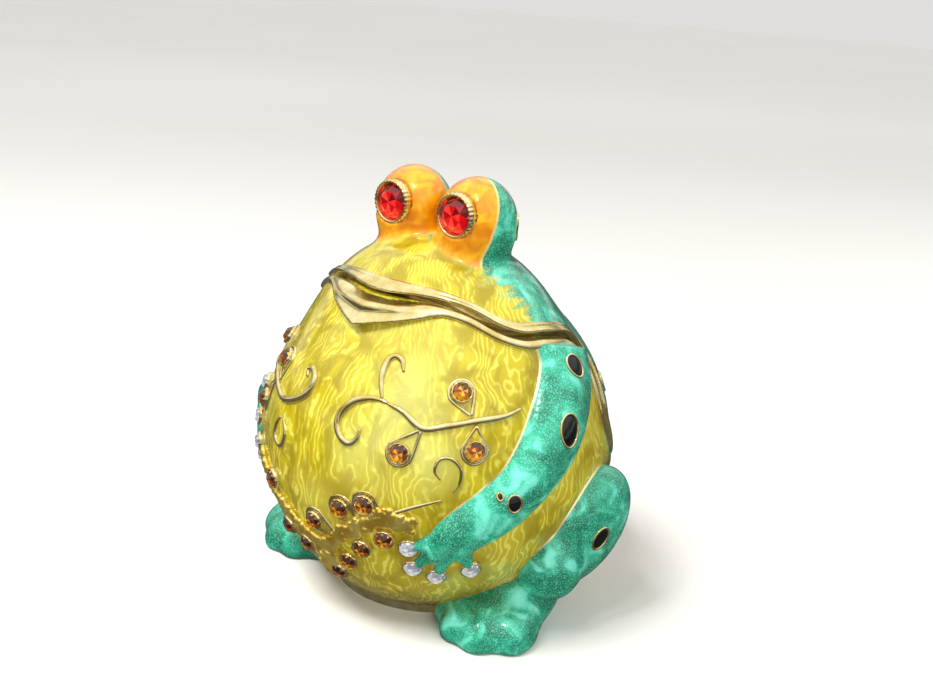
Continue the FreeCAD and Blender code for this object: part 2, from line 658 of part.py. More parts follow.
def hand(side, middle, fingertips):
    """Gold cups at the fingertips, each on a short gold stem that runs back to the hand."""
    settings = cups(side + "_hand_settings", fingertips)
    for count, (longitude, latitude) in enumerate(fingertips):
        east = middle[0] - longitude
        north = middle[1] - latitude
        whole = math.hypot(east * math.cos(math.radians(latitude)), north)
        near_cup = FINGER_CLEAR_OF_CUP / whole
        near_hand = 1 - FINGER_CLEAR_OF_HAND / whole
        if near_hand - near_cup < 0.05:
            continue
        stem = []
        for share in (near_cup, (near_cup + near_hand) / 2, near_hand):
            stem.append((longitude + east * share, latitude + north * share))
        settings.append(wire(f"{side}_finger_{count}", stem, "wire_radius"))
    node(side + "_hand_settings", group(side + "_hand_settings", settings))
    crystals(side + "_hand_crystals", fingertips)


hand("left", LEFT_HAND_MIDDLE, LEFT_FINGERTIPS)
hand("right", RIGHT_HAND_MIDDLE, RIGHT_FINGERTIPS)

# ---------------------------------------------------------------- spots on the back

BACK_SPOTS = [(150, 38, 1.0, 1.4), (-150, 38, 1.0, 1.4), (128, 22, 0.9, 1.1), (-128, 22, 0.9, 1.1), (180, 22, 1.1, 1.5)]
back = []
for longitude, latitude, half_width, half_length in BACK_SPOTS:
    back.append((on_ball(longitude, latitude), outward(longitude, latitude), half_width, half_length))
back_parts = spots("back_spot", back)
node("back_spots", back_parts["disc"])
node("back_spot_rims", back_parts["rim"])
plain_lid = [thing for thing in nodes if thing.Label == "lid_shell"][0]
plain_lid.Label = "lid_without_spots"
nodes.remove(plain_lid)
node("lid_shell", carve("lid_spotted", plain_lid, back_parts["rooms"]))

# ---------------------------------------------------------------- check and write

doc.recompute()
for thing in doc.Objects:
    bad = [word for word in thing.State if word in ("Invalid", "Error")]
    if bad:
        raise SystemExit(f"{thing.Name} did not build: {bad}")
for part in nodes:
    if part.Shape.isNull() or not part.Shape.isValid():
        raise SystemExit(f"{part.Label} has no valid shape")
    if not part.Shape.Solids:
        raise SystemExit(f"{part.Label} has no solid")
for part in nodes:
    part.Shape.exportStep(f"parts/{part.Label}.step")
    print(part.Label, len(part.Shape.Solids), round(part.Shape.Volume, 2))
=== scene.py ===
"""Looks of the sitting-frog trinket box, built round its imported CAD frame.

Every shape is worked out in millimetres in the frame of the part (+Z up, the frog faces -Y, its left is +X)
and turned into metres when the mesh is made. The enamelled bodies are fields of signed distances (negative
inside) that are blended, cut and then meshed; wires, rims, crystals and settings are swept or turned from
short outlines.
"""
import math

import bpy
import numpy as np
import openvdb
from mathutils import Matrix, Vector


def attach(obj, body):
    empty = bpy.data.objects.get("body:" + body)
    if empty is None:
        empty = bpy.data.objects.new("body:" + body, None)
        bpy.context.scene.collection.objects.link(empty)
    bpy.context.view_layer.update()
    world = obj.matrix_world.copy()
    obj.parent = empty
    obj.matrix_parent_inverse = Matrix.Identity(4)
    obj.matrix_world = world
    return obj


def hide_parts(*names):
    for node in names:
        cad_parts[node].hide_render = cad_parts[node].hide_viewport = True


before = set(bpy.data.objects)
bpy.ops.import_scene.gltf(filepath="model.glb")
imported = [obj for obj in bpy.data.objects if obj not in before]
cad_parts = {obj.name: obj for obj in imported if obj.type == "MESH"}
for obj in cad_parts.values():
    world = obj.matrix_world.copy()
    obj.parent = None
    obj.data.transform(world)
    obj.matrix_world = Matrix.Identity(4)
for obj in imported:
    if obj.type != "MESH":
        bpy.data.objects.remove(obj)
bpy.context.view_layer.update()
MM = 0.001

# ---------------------------------------------------------------- sizes shared with the part

BALL_MIDDLE = np.array([0.0, 0.0, 18.5])
BALL_RADIUS = 21.2
HEAD_MIDDLE = np.array([0.0, -1.0, 24.4])
HEAD_HALF = np.array([18.4, 15.4, 19.3])
WALL = 1.7
FLOOR_HEIGHT = 2.8
PLATE_HEIGHT = 1.1
SEAM_FRONT = 38.1
SEAM_SIDE = 34.9
SEAM_DROP = 7.0
SEAM_GAP = 0.32
HINGE_Y = 21.95
HINGE_Z = 15.0
HINGE_ROOM_RADIUS = 1.32
HINGE_ROOM_HALF = 5.7
EYE_MIDDLE = np.array([4.8, -0.9, 45.9])
EYE_HALF = np.array([4.7, 4.3, 4.9])
EYE_CRYSTAL_Z = 46.8
EYE_SEAT_Y = -3.9
EYE_CRYSTAL_RADIUS = 2.2
SMALL_CRYSTAL_RADIUS = 1.05
ARM_HALF_WIDTH = 3.0
ARM_PROUD = 2.1


# ---------------------------------------------------------------- distance fields

def length(vectors):
    return np.sqrt(np.einsum("...i,...i->...", vectors, vectors))


def smooth_min(first, second, width):
    blend = np.maximum(width - np.abs(first - second), 0) / width
    return np.minimum(first, second) - blend * blend * width * 0.25


def smooth_max(first, second, width):
    return -smooth_min(-first, -second, width)


def ellipsoid(points, middle, half, turn=None):
    """Distance to an ellipsoid; the columns of turn are its own axes."""
    local = points - middle
    if turn is not None:
        local = local @ turn
    near = length(local / half)
    slope = length(local / (half * half))
    return near * (near - 1) / np.maximum(slope, 1e-6)


def form(points):
    """The frog's round outside: body ball and head ball run together."""
    ball = length(points - BALL_MIDDLE) - BALL_RADIUS
    return smooth_min(ball, ellipsoid(points, HEAD_MIDDLE, HEAD_HALF), 1.2)


def smooth_line(stations, steps):
    """Points along a smooth curve through the stations, which may carry extra values such as a width."""
    stations = np.array(stations, float)
    held = np.concatenate([[2 * stations[0] - stations[1]], stations, [2 * stations[-1] - stations[-2]]])
    line = []
    for index in range(1, len(held) - 2):
        before, start, end, after = held[index - 1:index + 3]
        for step in range(steps):
            t = step / steps
            line.append(0.5 * (2 * start + (end - before) * t
                               + (2 * before - 5 * start + 4 * end - after) * t ** 2
                               + (3 * start - 3 * end + after - before) * t ** 3))
    line.append(stations[-1])
    return np.array(line)


SEAM_LINE = smooth_line([
    (-30, SEAM_FRONT - 0.7), (-20, SEAM_FRONT - 0.6), (-13, SEAM_FRONT - 0.3), (-10.5, SEAM_FRONT + 0.2),
    (-8.6, SEAM_FRONT - 0.4), (-6.6, SEAM_SIDE + 1.2), (-4.2, SEAM_SIDE + 0.3), (-1, SEAM_SIDE),
    (SEAM_DROP - 3.8, SEAM_SIDE - 0.9), (SEAM_DROP - 1.2, SEAM_SIDE - 2.4), (SEAM_DROP, SEAM_SIDE - 5),
    (SEAM_DROP + 0.2, SEAM_SIDE - 10), (SEAM_DROP + 1.6, HINGE_Z + 6.5), (SEAM_DROP + 4.5, HINGE_Z + 2.6),
    (SEAM_DROP + 9, HINGE_Z + 0.6), (SEAM_DROP + 13, HINGE_Z + 0.1), (30, HINGE_Z),
], 8)
SEAM_STEP = 0.15
SEAM_CORNER = np.array([-32.0, -6.0])
SEAM_COUNT = (440, 440)


def seam_table():
    """Signed distance to the mouth seam seen from the side, on a grid; positive above and behind it."""
    lines = [SEAM_CORNER[axis] + SEAM_STEP * np.arange(SEAM_COUNT[axis]) for axis in (0, 1)]
    y, z = np.meshgrid(*lines, indexing="ij")
    best = np.full(y.shape, 1e9)
    side = np.ones(y.shape)
    for start, end in zip(SEAM_LINE, SEAM_LINE[1:]):
        along = end - start
        share = np.clip(((y - start[0]) * along[0] + (z - start[1]) * along[1]) / (along @ along), 0, 1)
        away_y = y - start[0] - share * along[0]
        away_z = z - start[1] - share * along[1]
        distance = np.hypot(away_y, away_z)
        nearer = distance < best
        best[nearer] = distance[nearer]
        side[nearer] = np.sign(along[0] * away_z - along[1] * away_y)[nearer]
    return best * side


SEAM_TABLE = seam_table()


def seam(points):
    """How far a point lies above the mouth seam."""
    place = (points[..., 1:3] - SEAM_CORNER) / SEAM_STEP
    cell = np.clip(np.floor(place).astype(int), 0, np.array(SEAM_COUNT) - 2)
    part = np.clip(place - cell, 0, 1)
    row, column = cell[..., 0], cell[..., 1]
    low = SEAM_TABLE[row, column] * (1 - part[..., 0]) + SEAM_TABLE[row + 1, column] * part[..., 0]
    high = SEAM_TABLE[row, column + 1] * (1 - part[..., 0]) + SEAM_TABLE[row + 1, column + 1] * part[..., 0]
    return low * (1 - part[..., 1]) + high * part[..., 1]


def limb(points, line):
    """Distance to a tube of changing radius; each row of line is x, y, z, radius."""
    best = np.full(points.shape[:-1], 1e9)
    for start, end in zip(line, line[1:]):
        along = end[:3] - start[:3]
        offset = points - start[:3]
        share = np.clip(offset @ along / (along @ along), 0, 1)
        distance = length(offset - share[..., None] * along) - (start[3] + (end[3] - start[3]) * share)
        best = np.minimum(best, distance)
    return best


def axes(forward, up=(0, 0, 1)):
    """Three unit vectors as columns: forward, sideways and upwards."""
    forward = np.array(forward, float) / np.linalg.norm(forward)
    side = np.cross(up, forward)
    side /= np.linalg.norm(side)
    return np.stack([forward, side, np.cross(forward, side)], axis=1)


def facing(direction):
    """Axes of something that stands on a surface and looks out along a direction."""
    return axes(direction, (0, 0, 1) if abs(direction[2]) < 0.9 else (0, 1, 0))


def turned(axis, degrees):
    return np.array(Matrix.Rotation(math.radians(degrees), 3, Vector(axis).normalized()))


def outward(longitude, latitude):
    """Direction out of the body ball; longitude runs from the front towards the frog's left."""
    east = np.radians(longitude)
    north = np.radians(latitude)
    return np.stack([np.cos(north) * np.sin(east), -np.cos(north) * np.cos(east), np.sin(north)], axis=-1)


def cast(field, start, direction, low, high):
    """Where a ray from inside leaves a field, found by halving."""
    start = np.array(start, float)
    near = np.full(start.shape[:-1], float(low))
    far = np.full(start.shape[:-1], float(high))
    for _ in range(26):
        middle = (near + far) / 2
        inside = field(start + direction * middle[..., None]) < 0
        near = np.where(inside, middle, near)
        far = np.where(inside, far, middle)
    return start + direction * near[..., None]


def on_form(longitude, latitude, height=0.0):
    """A point at a height above the round outside."""
    direction = outward(np.array(longitude, float), np.array(latitude, float))
    start = np.broadcast_to(BALL_MIDDLE, direction.shape)
    return cast(form, start, direction, 8, 36) + direction * height


# ---------------------------------------------------------------- meshes

def make(name, body, points, faces, material, replaced=(), smooth=True, values=None, painted_facet_lights=None):
    """A named piece in millimetres that rides on a body. values are per point; the per-face values are
    painted facet reflections of crystals.
    """
    mesh = bpy.data.meshes.new(name)
    corners = [list(map(int, face)) for face in faces]
    mesh.from_pydata((np.asarray(points, float) * MM).tolist(), [], corners)
    mesh.validate()
    for key, numbers in (values or {}).items():
        carried = mesh.attributes.new(key, "FLOAT", "POINT")
        carried.data.foreach_set("value", np.asarray(numbers, np.float32))
    if painted_facet_lights is not None:
        carried = mesh.attributes.new("painted_facet_light", "FLOAT", "FACE")
        carried.data.foreach_set("value", np.asarray(painted_facet_lights, np.float32))
    mesh.polygons.foreach_set("use_smooth", [smooth] * len(mesh.polygons))
    mesh.materials.append(material)
    piece = bpy.data.objects.new(name, mesh)
    bpy.context.scene.collection.objects.link(piece)
    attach(piece, body)
    if replaced:
        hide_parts(*replaced)
    return piece


BLOCK = 4
BLOCKS_AT_ONCE = 6000


def surface(field, low, high, step):
    """Points and four-sided faces of the surface where a field is nought, found on a grid that is only
    worked out closely near the surface, then pulled exactly onto it."""
    low = np.array(low, float)
    blocks = np.ceil((np.array(high, float) - low) / (step * BLOCK)).astype(int)
    corner = [low[axis] + step * BLOCK * np.arange(blocks[axis]) for axis in range(3)]
    grid = np.stack(np.meshgrid(*corner, indexing="ij"), axis=-1)
    coarse = field((grid + step * (BLOCK - 1) / 2).reshape(-1, 3)).reshape(blocks)
    near = np.abs(coarse) < step * BLOCK * 1.35
    values = np.broadcast_to(coarse[:, None, :, None, :, None],
                             (blocks[0], BLOCK, blocks[1], BLOCK, blocks[2], BLOCK)).astype(np.float32)
    inner = np.stack(np.meshgrid(*[step * np.arange(BLOCK)] * 3, indexing="ij"), axis=-1)
    chosen = np.argwhere(near)
    for first in range(0, len(chosen), BLOCKS_AT_ONCE):
        part = chosen[first:first + BLOCKS_AT_ONCE]
        places = grid[part[:, 0], part[:, 1], part[:, 2]][:, None, None, None, :] + inner
        found = field(places.reshape(-1, 3)).reshape(-1, BLOCK, BLOCK, BLOCK)
        values[part[:, 0], :, part[:, 1], :, part[:, 2], :] = found
    values = values.reshape(blocks * BLOCK)
    volume = openvdb.FloatGrid(float(step * BLOCK * 4))
    volume.copyFromArray(np.ascontiguousarray(values))
    points, faces = volume.convertToQuads(0.0)
    points = points.astype(float) * step + low
    for _ in range(3):
        points = pull(field, points, step)
    return points, faces


def slope(field, points, reach=0.02):
    """Gradient of a field."""
    parts = []
    for axis in range(3):
        shift = np.zeros(3)
        shift[axis] = reach
        parts.append((field(points + shift) - field(points - shift)) / (2 * reach))
    return np.stack(parts, axis=-1)


def pull(field, points, step):
    gradient = slope(field, points)
    size = np.maximum(np.einsum("ij,ij->i", gradient, gradient), 0.05)
    move = gradient * (field(points) / size)[:, None]
    longest = np.maximum(length(move) / (0.6 * step), 1)
    return points - move / longest[:, None]


def rings(loops, closed_along=False):
    """Faces that join loops of equal numbers of points; the end loops are capped unless it runs closed."""
    count = len(loops[0])
    points = np.concatenate(loops)
    faces = []
    total = len(loops)
    for index in range(total if closed_along else total - 1):
        here = index * count
        there = (index + 1) % total * count
        for turn in range(count):
            after = (turn + 1) % count
            faces.append((here + turn, here + after, there + after, there + turn))
    if not closed_along:
        faces.append(tuple(range(count - 1, -1, -1)))
        faces.append(tuple(range((total - 1) * count, total * count)))
    return points, faces


def tube(path, radii, sides=10, closed=False, squash=1.0, ups=None):
    """A tube along a path; ups are the outward directions, along which it may be squashed."""
    path = np.array(path, float)
    radii = np.broadcast_to(radii, len(path))
    loops = []
    for index, point in enumerate(path):
        before = path[index - 1] if closed or index else path[index]
        after = path[(index + 1) % len(path)] if closed or index + 1 < len(path) else path[index]
        forward = (after - before) / np.linalg.norm(after - before)
        up = ups[index] - forward * (ups[index] @ forward)
        up /= np.linalg.norm(up)
        side = np.cross(forward, up)
        angles = 2 * np.pi * np.arange(sides) / sides
        loops.append(point + radii[index] * (np.cos(angles)[:, None] * side
                                             + squash * np.sin(angles)[:, None] * up))
    return rings(loops, closed_along=closed)


def lathe(outline, middle, forward, sectors, ripple=None):
    """An outline of (radius, height) turned round an axis; ripple changes the radius with the angle."""
    turn = facing(forward)
    loops = []
    for sector in range(sectors):
        angle = 2 * math.pi * sector / sectors
        ray = math.cos(angle) * turn[:, 1] + math.sin(angle) * turn[:, 2]
        loop = []
        for place, (radius, height) in enumerate(outline):
            reach = radius * (1 + (ripple(sector, place) if ripple else 0))
            loop.append(middle + ray * reach + turn[:, 0] * height)
        loops.append(loop)
    points, faces = rings([np.array(loop) for loop in loops], closed_along=True)
    return points, [face[::-1] for face in faces]


def joined(parts):
    """Several meshes as one."""
    points = []
    faces = []
    start = 0
    for some_points, some_faces in parts:
        points.append(np.asarray(some_points))
        faces.extend([tuple(corner + start for corner in face) for face in some_faces])
        start += len(some_points)
    return np.concatenate(points), faces


# ---------------------------------------------------------------- materials

class Nodes:
    """Short ways to put a node material together."""

    def __init__(self, name):
        self.material = bpy.data.materials.new(name)
        self.material.use_nodes = True
        self.tree = self.material.node_tree
        self.shader = self.tree.nodes["Principled BSDF"]

    def add(self, kind, **settings):
        made = self.tree.nodes.new(kind)
        for key, value in settings.items():
            setattr(made, key, value)
        return made

    def link(self, source, target):
        if isinstance(source, (int, float)):
            target.default_value = source
        elif isinstance(source, tuple):
            target.default_value = source if len(source) == len(target.default_value) else (*source, 1.0)
        else:
            self.tree.links.new(source, target)

    def place(self):
        """Where a point is on its own object, in millimetres."""
        return self.vector("SCALE", self.add("ShaderNodeTexCoord").outputs["Object"], scale=1 / MM)

    def vector(self, operation, first, second=None, scale=None):
        made = self.add("ShaderNodeVectorMath", operation=operation)
        self.link(first, made.inputs[0])
        if second is not None:
            self.link(second, made.inputs[1])
        if scale is not None:
            made.inputs["Scale"].default_value = scale
        return made.outputs["Vector"]

    def sum(self, operation, first, second=0.5, clamp=False):
        made = self.add("ShaderNodeMath", operation=operation, use_clamp=clamp)
        self.link(first, made.inputs[0])
        self.link(second, made.inputs[1])
        return made.outputs[0]

    def noise(self, place, scale, detail=2.0, distortion=0.0, colour=False, roughness=0.5):
        made = self.add("ShaderNodeTexNoise")
        self.link(place, made.inputs["Vector"])
        made.inputs["Scale"].default_value = scale
        made.inputs["Detail"].default_value = detail
        made.inputs["Roughness"].default_value = roughness
        made.inputs["Distortion"].default_value = distortion
        return made.outputs["Color" if colour else "Fac"]

    def step(self, value, low, high):
        """0 below low, 1 above high, smooth in between; low may be above high."""
        made = self.add("ShaderNodeMapRange", interpolation_type="SMOOTHSTEP")
        self.link(value, made.inputs["Value"])
        made.inputs["From Min"].default_value = low
        made.inputs["From Max"].default_value = high
        return made.outputs["Result"]

    def mix(self, share, first, second):
        made = self.add("ShaderNodeMix", data_type="RGBA")
        self.link(share, made.inputs[0])
        self.link(first, made.inputs[6])
        self.link(second, made.inputs[7])
        return made.outputs[2]

    def value(self, name):
        return self.add("ShaderNodeAttribute", attribute_name=name).outputs["Fac"]

    def bump(self, height, strength, distance):
        made = self.add("ShaderNodeBump")
        made.inputs["Strength"].default_value = strength
        made.inputs["Distance"].default_value = distance * MM
        self.link(height, made.inputs["Height"])
        self.link(made.outputs["Normal"], self.shader.inputs["Normal"])

    def set(self, **inputs):
        for key, value in inputs.items():
            self.link(value, self.shader.inputs[key.replace("_", " ")])
        return self.material


def rgb(*parts):
    """A colour given as it looks on a screen, 0 to 255."""
    return tuple(((part / 255 + 0.055) / 1.055) ** 2.4 if part > 10 else part / 3295 for part in parts)


GOLD_PALE = rgb(242, 232, 182)
GOLD_DEEP = rgb(222, 198, 122)


def gold(name, pale=GOLD_PALE, deep=GOLD_DEEP, roughness=0.1, grain=0.0, painted_glow=0.05):
    nodes = Nodes(name)
    place = nodes.place()
    cloud = nodes.noise(place, 0.5, 3.0)
    nodes.bump(nodes.noise(place, 1.3, 2.0), 0.12 + grain, 0.05)
    colour = nodes.mix(nodes.step(cloud, 0.3, 0.7), deep, pale)
    # the emission is a painted glow that brightens the gold beyond what it mirrors
    return nodes.set(Base_Color=colour, Metallic=1.0, Emission_Color=colour, Emission_Strength=painted_glow,
                     Roughness=nodes.sum("ADD", roughness, nodes.sum("MULTIPLY", cloud, 0.08)))


# middle of the painted glare patch on the chest, a painted reflection
CHEST_GLARE = (9.0, -17.8, 25.8)
ENAMEL_SHINE = {"Roughness": 0.22, "Coat_Weight": 0.7, "Coat_Roughness": 0.06}


def yellow_paint(nodes, place):
    """Colour and stroke height of the pearly yellow enamel: upright flame strokes that curl, with painted
    shade towards the bottom and a painted glare patch on the chest.
    """
    split = nodes.add("ShaderNodeSeparateXYZ")
    nodes.link(place, split.inputs[0])
    around = nodes.sum("ARCTAN2", split.outputs["X"], nodes.sum("MULTIPLY", split.outputs["Y"], -1.0))
    bend = nodes.sum("SUBTRACT", nodes.noise(nodes.vector("MULTIPLY", place, (1.0, 1.0, 0.55)), 0.24, 2.5))
    ripple = nodes.sum("SUBTRACT", nodes.noise(place, 0.9, 1.5))
    phase = nodes.sum("ADD", nodes.sum("MULTIPLY", around, 120.0), nodes.sum("MULTIPLY", bend, 58.0))
    phase = nodes.sum("ADD", phase, nodes.sum("MULTIPLY", ripple, 6.0))
    lines = nodes.step(nodes.sum("SINE", phase), 0.0, 1.0)
    flames = nodes.noise(nodes.vector("MULTIPLY", place, (1.0, 1.0, 0.55)), 0.42, 3.0, 0.6)
    strength = nodes.step(flames, 0.36, 0.6)
    cloud = nodes.noise(place, 0.1, 1.5)
    # low is painted shade: the enamel is painted darker olive towards the bottom, where less light falls
    low = nodes.step(split.outputs["Z"], 26.0, 4.0)
    from_glare = nodes.add("ShaderNodeVectorMath", operation="DISTANCE")
    nodes.link(place, from_glare.inputs[0])
    from_glare.inputs[1].default_value = CHEST_GLARE
    near_glare = nodes.step(from_glare.outputs["Value"], 10.0, 3.0)
    # pale is a painted glare patch, a pale reflection painted onto the chest and broken up by the cloud
    pale = nodes.sum("MULTIPLY", near_glare, nodes.step(cloud, 0.2, 0.6))
    colour = nodes.mix(nodes.step(flames, 0.32, 0.68), rgb(156, 138, 0), rgb(200, 182, 8))
    colour = nodes.mix(nodes.sum("MULTIPLY", nodes.step(cloud, 0.46, 0.7), 0.5), colour, rgb(208, 200, 84))
    colour = nodes.mix(nodes.sum("MULTIPLY", low, 0.4), colour, rgb(124, 104, 0))
    colour = nodes.mix(nodes.sum("MULTIPLY", pale, 0.55), colour, rgb(216, 220, 132))
    shine = nodes.sum("MULTIPLY", nodes.sum("MULTIPLY", lines, strength), 0.5)
    return nodes.mix(shine, colour, rgb(244, 238, 112)), lines


def green_paint(nodes, place):
    """Colour and grain height of the glittering green enamel: soft light patches, the palest ones painted
    highlights, under a fine painted sparkle.
    """
    patches = nodes.noise(place, 0.34, 2.5, 0.7)
    grain = nodes.noise(place, 6.0, 2.0, roughness=0.8)
    colour = nodes.mix(nodes.step(patches, 0.34, 0.7), rgb(2, 118, 84), rgb(48, 188, 150))
    # light marks the palest patches, which are painted highlights
    light = nodes.sum("MULTIPLY", nodes.step(patches, 0.54, 0.7), 0.7)
    colour = nodes.mix(light, colour, rgb(128, 232, 212))
    # painted sparkle: bright glints painted into the colour where the fine grain peaks; the same grain also
    # drives the bump
    colour = nodes.mix(nodes.sum("MULTIPLY", nodes.step(grain, 0.5, 0.68), 0.6), colour, rgb(142, 244, 224))
    return colour, grain


def gilded_inside(nodes, colour):
    """Bare gold plate instead of enamel on the walls of the cavity; gives colour and metallic."""
    inside = nodes.step(nodes.value("outward"), -0.6, -1.0)
    metallic = nodes.sum("ADD", 0.15, nodes.sum("MULTIPLY", inside, 0.85), True)
    return nodes.mix(inside, colour, GOLD_DEEP), metallic


def yellow_enamel():
    nodes = Nodes("yellow_enamel")
    colour, lines = yellow_paint(nodes, nodes.place())
    colour, metallic = gilded_inside(nodes, colour)
    nodes.bump(lines, 0.12, 0.06)
    return nodes.set(Base_Color=colour, Metallic=metallic, **ENAMEL_SHINE)


def green_enamel():
    """Green enamel, with the bare gold edge where a limb meets the ball."""
    nodes = Nodes("green_enamel")
    colour, grain = green_paint(nodes, nodes.place())
    bare = nodes.step(nodes.value("clear_of_ball"), 0.26, 0.14)
    colour = nodes.mix(bare, colour, GOLD_PALE)
    nodes.bump(grain, 0.14, 0.05)
    return nodes.set(Base_Color=colour, Roughness=0.26, Coat_Weight=0.6, Coat_Roughness=0.08,
                     Metallic=nodes.sum("ADD", 0.2, nodes.sum("MULTIPLY", bare, 0.8), True))


def head_enamel():
    """Yellow face brushed into green at the back; orange eye domes turn green behind a gold line."""
    nodes = Nodes("head_enamel")
    place = nodes.place()
    yellow, lines = yellow_paint(nodes, place)
    green, _ = green_paint(nodes, place)
    streak = nodes.noise(nodes.vector("MULTIPLY", place, (1.0, 0.35, 1.0)), 1.1, 3.0)
    ragged = nodes.sum("MULTIPLY", nodes.sum("SUBTRACT", streak), 7.0)
    brushed = nodes.sum("ADD", nodes.value("behind_face"), ragged)
    colour = nodes.mix(nodes.step(brushed, -1.2, 1.2), yellow, green)
    pearl = nodes.noise(place, 0.5, 3.0, 0.8)
    orange = nodes.mix(nodes.step(pearl, 0.35, 0.7), rgb(214, 126, 0), rgb(238, 172, 16))
    # a painted highlight: pinkish-white pearl sheen painted low on the flared dome necks
    height = nodes.sum("ADD", nodes.value("dome_height"), nodes.sum("MULTIPLY", pearl, 3.0))
    painted_neck_highlight = nodes.step(height, 1.4, -0.2)
    orange = nodes.mix(nodes.sum("MULTIPLY", painted_neck_highlight, 0.4), orange, rgb(252, 216, 196))
    behind = nodes.value("behind_dome")
    dome = nodes.mix(nodes.step(behind, -0.1, 0.1), orange, green)
    line = nodes.sum("MULTIPLY", nodes.step(behind, -0.2, -0.08), nodes.step(behind, 0.2, 0.08))
    dome = nodes.mix(line, dome, GOLD_DEEP)
    on_dome = nodes.step(nodes.value("off_dome"), 0.9, 0.35)
    colour, metallic = gilded_inside(nodes, nodes.mix(on_dome, colour, dome))
    nodes.bump(lines, 0.1, 0.05)
    return nodes.set(Base_Color=colour, Metallic=metallic, **ENAMEL_SHINE)


def stone(name, dark, middle, bright, painted_glow):
    """A foil-backed crystal: every facet is painted its own brightness between dark and bright, a painted
    reflection, and the emission is a painted glow.
    """
    nodes = Nodes(name)
    painted_facet_light = nodes.value("painted_facet_light")
    cloud = nodes.noise(nodes.place(), 3.0, 1.0)
    painted_facet_light = nodes.sum("ADD", painted_facet_light, nodes.sum("MULTIPLY", nodes.sum("SUBTRACT", cloud), 0.3))
    colour = nodes.mix(nodes.step(painted_facet_light, 0.1, 0.5), dark, middle)
    colour = nodes.mix(nodes.step(painted_facet_light, 0.5, 0.95), colour, bright)
    return nodes.set(Base_Color=colour, Metallic=0.55, Roughness=0.06, Coat_Weight=1.0, Coat_Roughness=0.02,
                     Emission_Color=colour, Emission_Strength=painted_glow)


def plain(name, base, other, metallic, roughness):
    nodes = Nodes(name)
    cloud = nodes.noise(nodes.place(), 0.8, 3.0)
    return nodes.set(Base_Color=nodes.mix(cloud, base, other), Metallic=metallic,
                     Roughness=nodes.sum("ADD", roughness, nodes.sum("MULTIPLY", cloud, 0.06)))


YELLOW = yellow_enamel()
GREEN = green_enamel()
HEAD = head_enamel()
GOLD = gold("gold_plate")
# the granulated gold gets a stronger painted glow so its grains look brighter
GOLD_ROUGH = gold("gold_granulated", rgb(252, 228, 120), rgb(216, 174, 62), 0.18, 0.3, 0.2)
BLACK = plain("black_enamel", rgb(6, 6, 7), rgb(20, 20, 24), 0.0, 0.07)
STEEL = plain("steel_pin", rgb(150, 150, 152), rgb(190, 190, 192), 1.0, 0.25)
NICKEL = plain("nickel_magnet", rgb(170, 170, 174), rgb(205, 205, 206), 1.0, 0.2)
# the crystals' facet colours are painted reflections and their emission a painted glow
RED = stone("red_crystal", rgb(92, 0, 6), rgb(206, 4, 14), rgb(255, 62, 50), 0.5)
AMBER = stone("amber_crystal", rgb(44, 26, 20), rgb(150, 74, 14), rgb(255, 176, 34), 0.2)
CLEAR = stone("clear_crystal", rgb(150, 152, 160), rgb(222, 225, 232), rgb(254, 255, 255), 0.22)

# ---------------------------------------------------------------- the two enamelled shells

FINE = 0.26


def cavity(points):
    return np.maximum(form(points) + WALL, FLOOR_HEIGHT - points[..., 2])


def hinge_room(points):
    barrel = np.hypot(points[..., 1] - HINGE_Y, points[..., 2] - HINGE_Z) - HINGE_ROOM_RADIUS
    return np.maximum(barrel, np.abs(points[..., 0]) - HINGE_ROOM_HALF)


def body_field(points):
    outside = smooth_max(form(points), seam(points) + SEAM_GAP, 0.3)
    outside = np.maximum(outside, PLATE_HEIGHT - points[..., 2])
    return np.maximum(np.maximum(outside, -cavity(points)), -hinge_room(points))


def mirror_x(points):
    """The same point on the frog's left."""
    return np.concatenate([np.abs(points[..., :1]), points[..., 1:]], axis=-1)


def domes(points):
    """Both eye domes with their flared necks."""
    left = mirror_x(points)
    ball = ellipsoid(left, EYE_MIDDLE, EYE_HALF)
    neck = np.hypot(left[..., 0] - EYE_MIDDLE[0], left[..., 1] - EYE_MIDDLE[1]) - 3.9
    neck = np.maximum(neck, np.abs(left[..., 2] - 41.5) - 2.4)
    dome = smooth_min(ball, neck, 1.6)
    return smooth_max(dome, 0.12 - left[..., 0], 0.9)


def eye_seat(points):
    left = mirror_x(points)
    round_it = np.hypot(left[..., 0] - EYE_MIDDLE[0], left[..., 2] - EYE_CRYSTAL_Z) - 2.5
    return np.maximum(round_it, left[..., 1] - EYE_SEAT_Y)


def head_field(points):
    outside = smooth_max(form(points), SEAM_GAP - seam(points), 0.3)
    outside = np.maximum(outside, -cavity(points))
    outside = smooth_min(outside, np.maximum(domes(points), -form(points) - 0.8), 1.3)
    return np.maximum(np.maximum(outside, -eye_seat(points)), -hinge_room(points))


points, faces = surface(body_field, (-22, -22, 0.4), (22, 22.4, 39.4), FINE)
make("body_enamel", "base", points, faces, YELLOW, ["body_shell"],
     values={"outward": form(points)})

points, faces = surface(head_field, (-19.5, -17, 14), (19.5, 22.4, 51.6), FINE)
left_side = mirror_x(points)
bend = np.clip((left_side[:, 0] - 9) / 6, 0, 1)
make("head_enamel", "lid", points, faces, HEAD, ["lid_shell", "left_eye_dome", "right_eye_dome"],
     values={
         "outward": form(points),
         "behind_face": points[:, 1] + 3.9 - 2.6 * bend,
         "off_dome": domes(points),
         "behind_dome": points[:, 1] + 1.75 + 0.28 * (left_side[:, 0] - 4.8) - 0.27 * (points[:, 2] - 45.9),
         "dome_height": points[:, 2] - 42.0,
     })

# ---------------------------------------------------------------- lips round the mouth


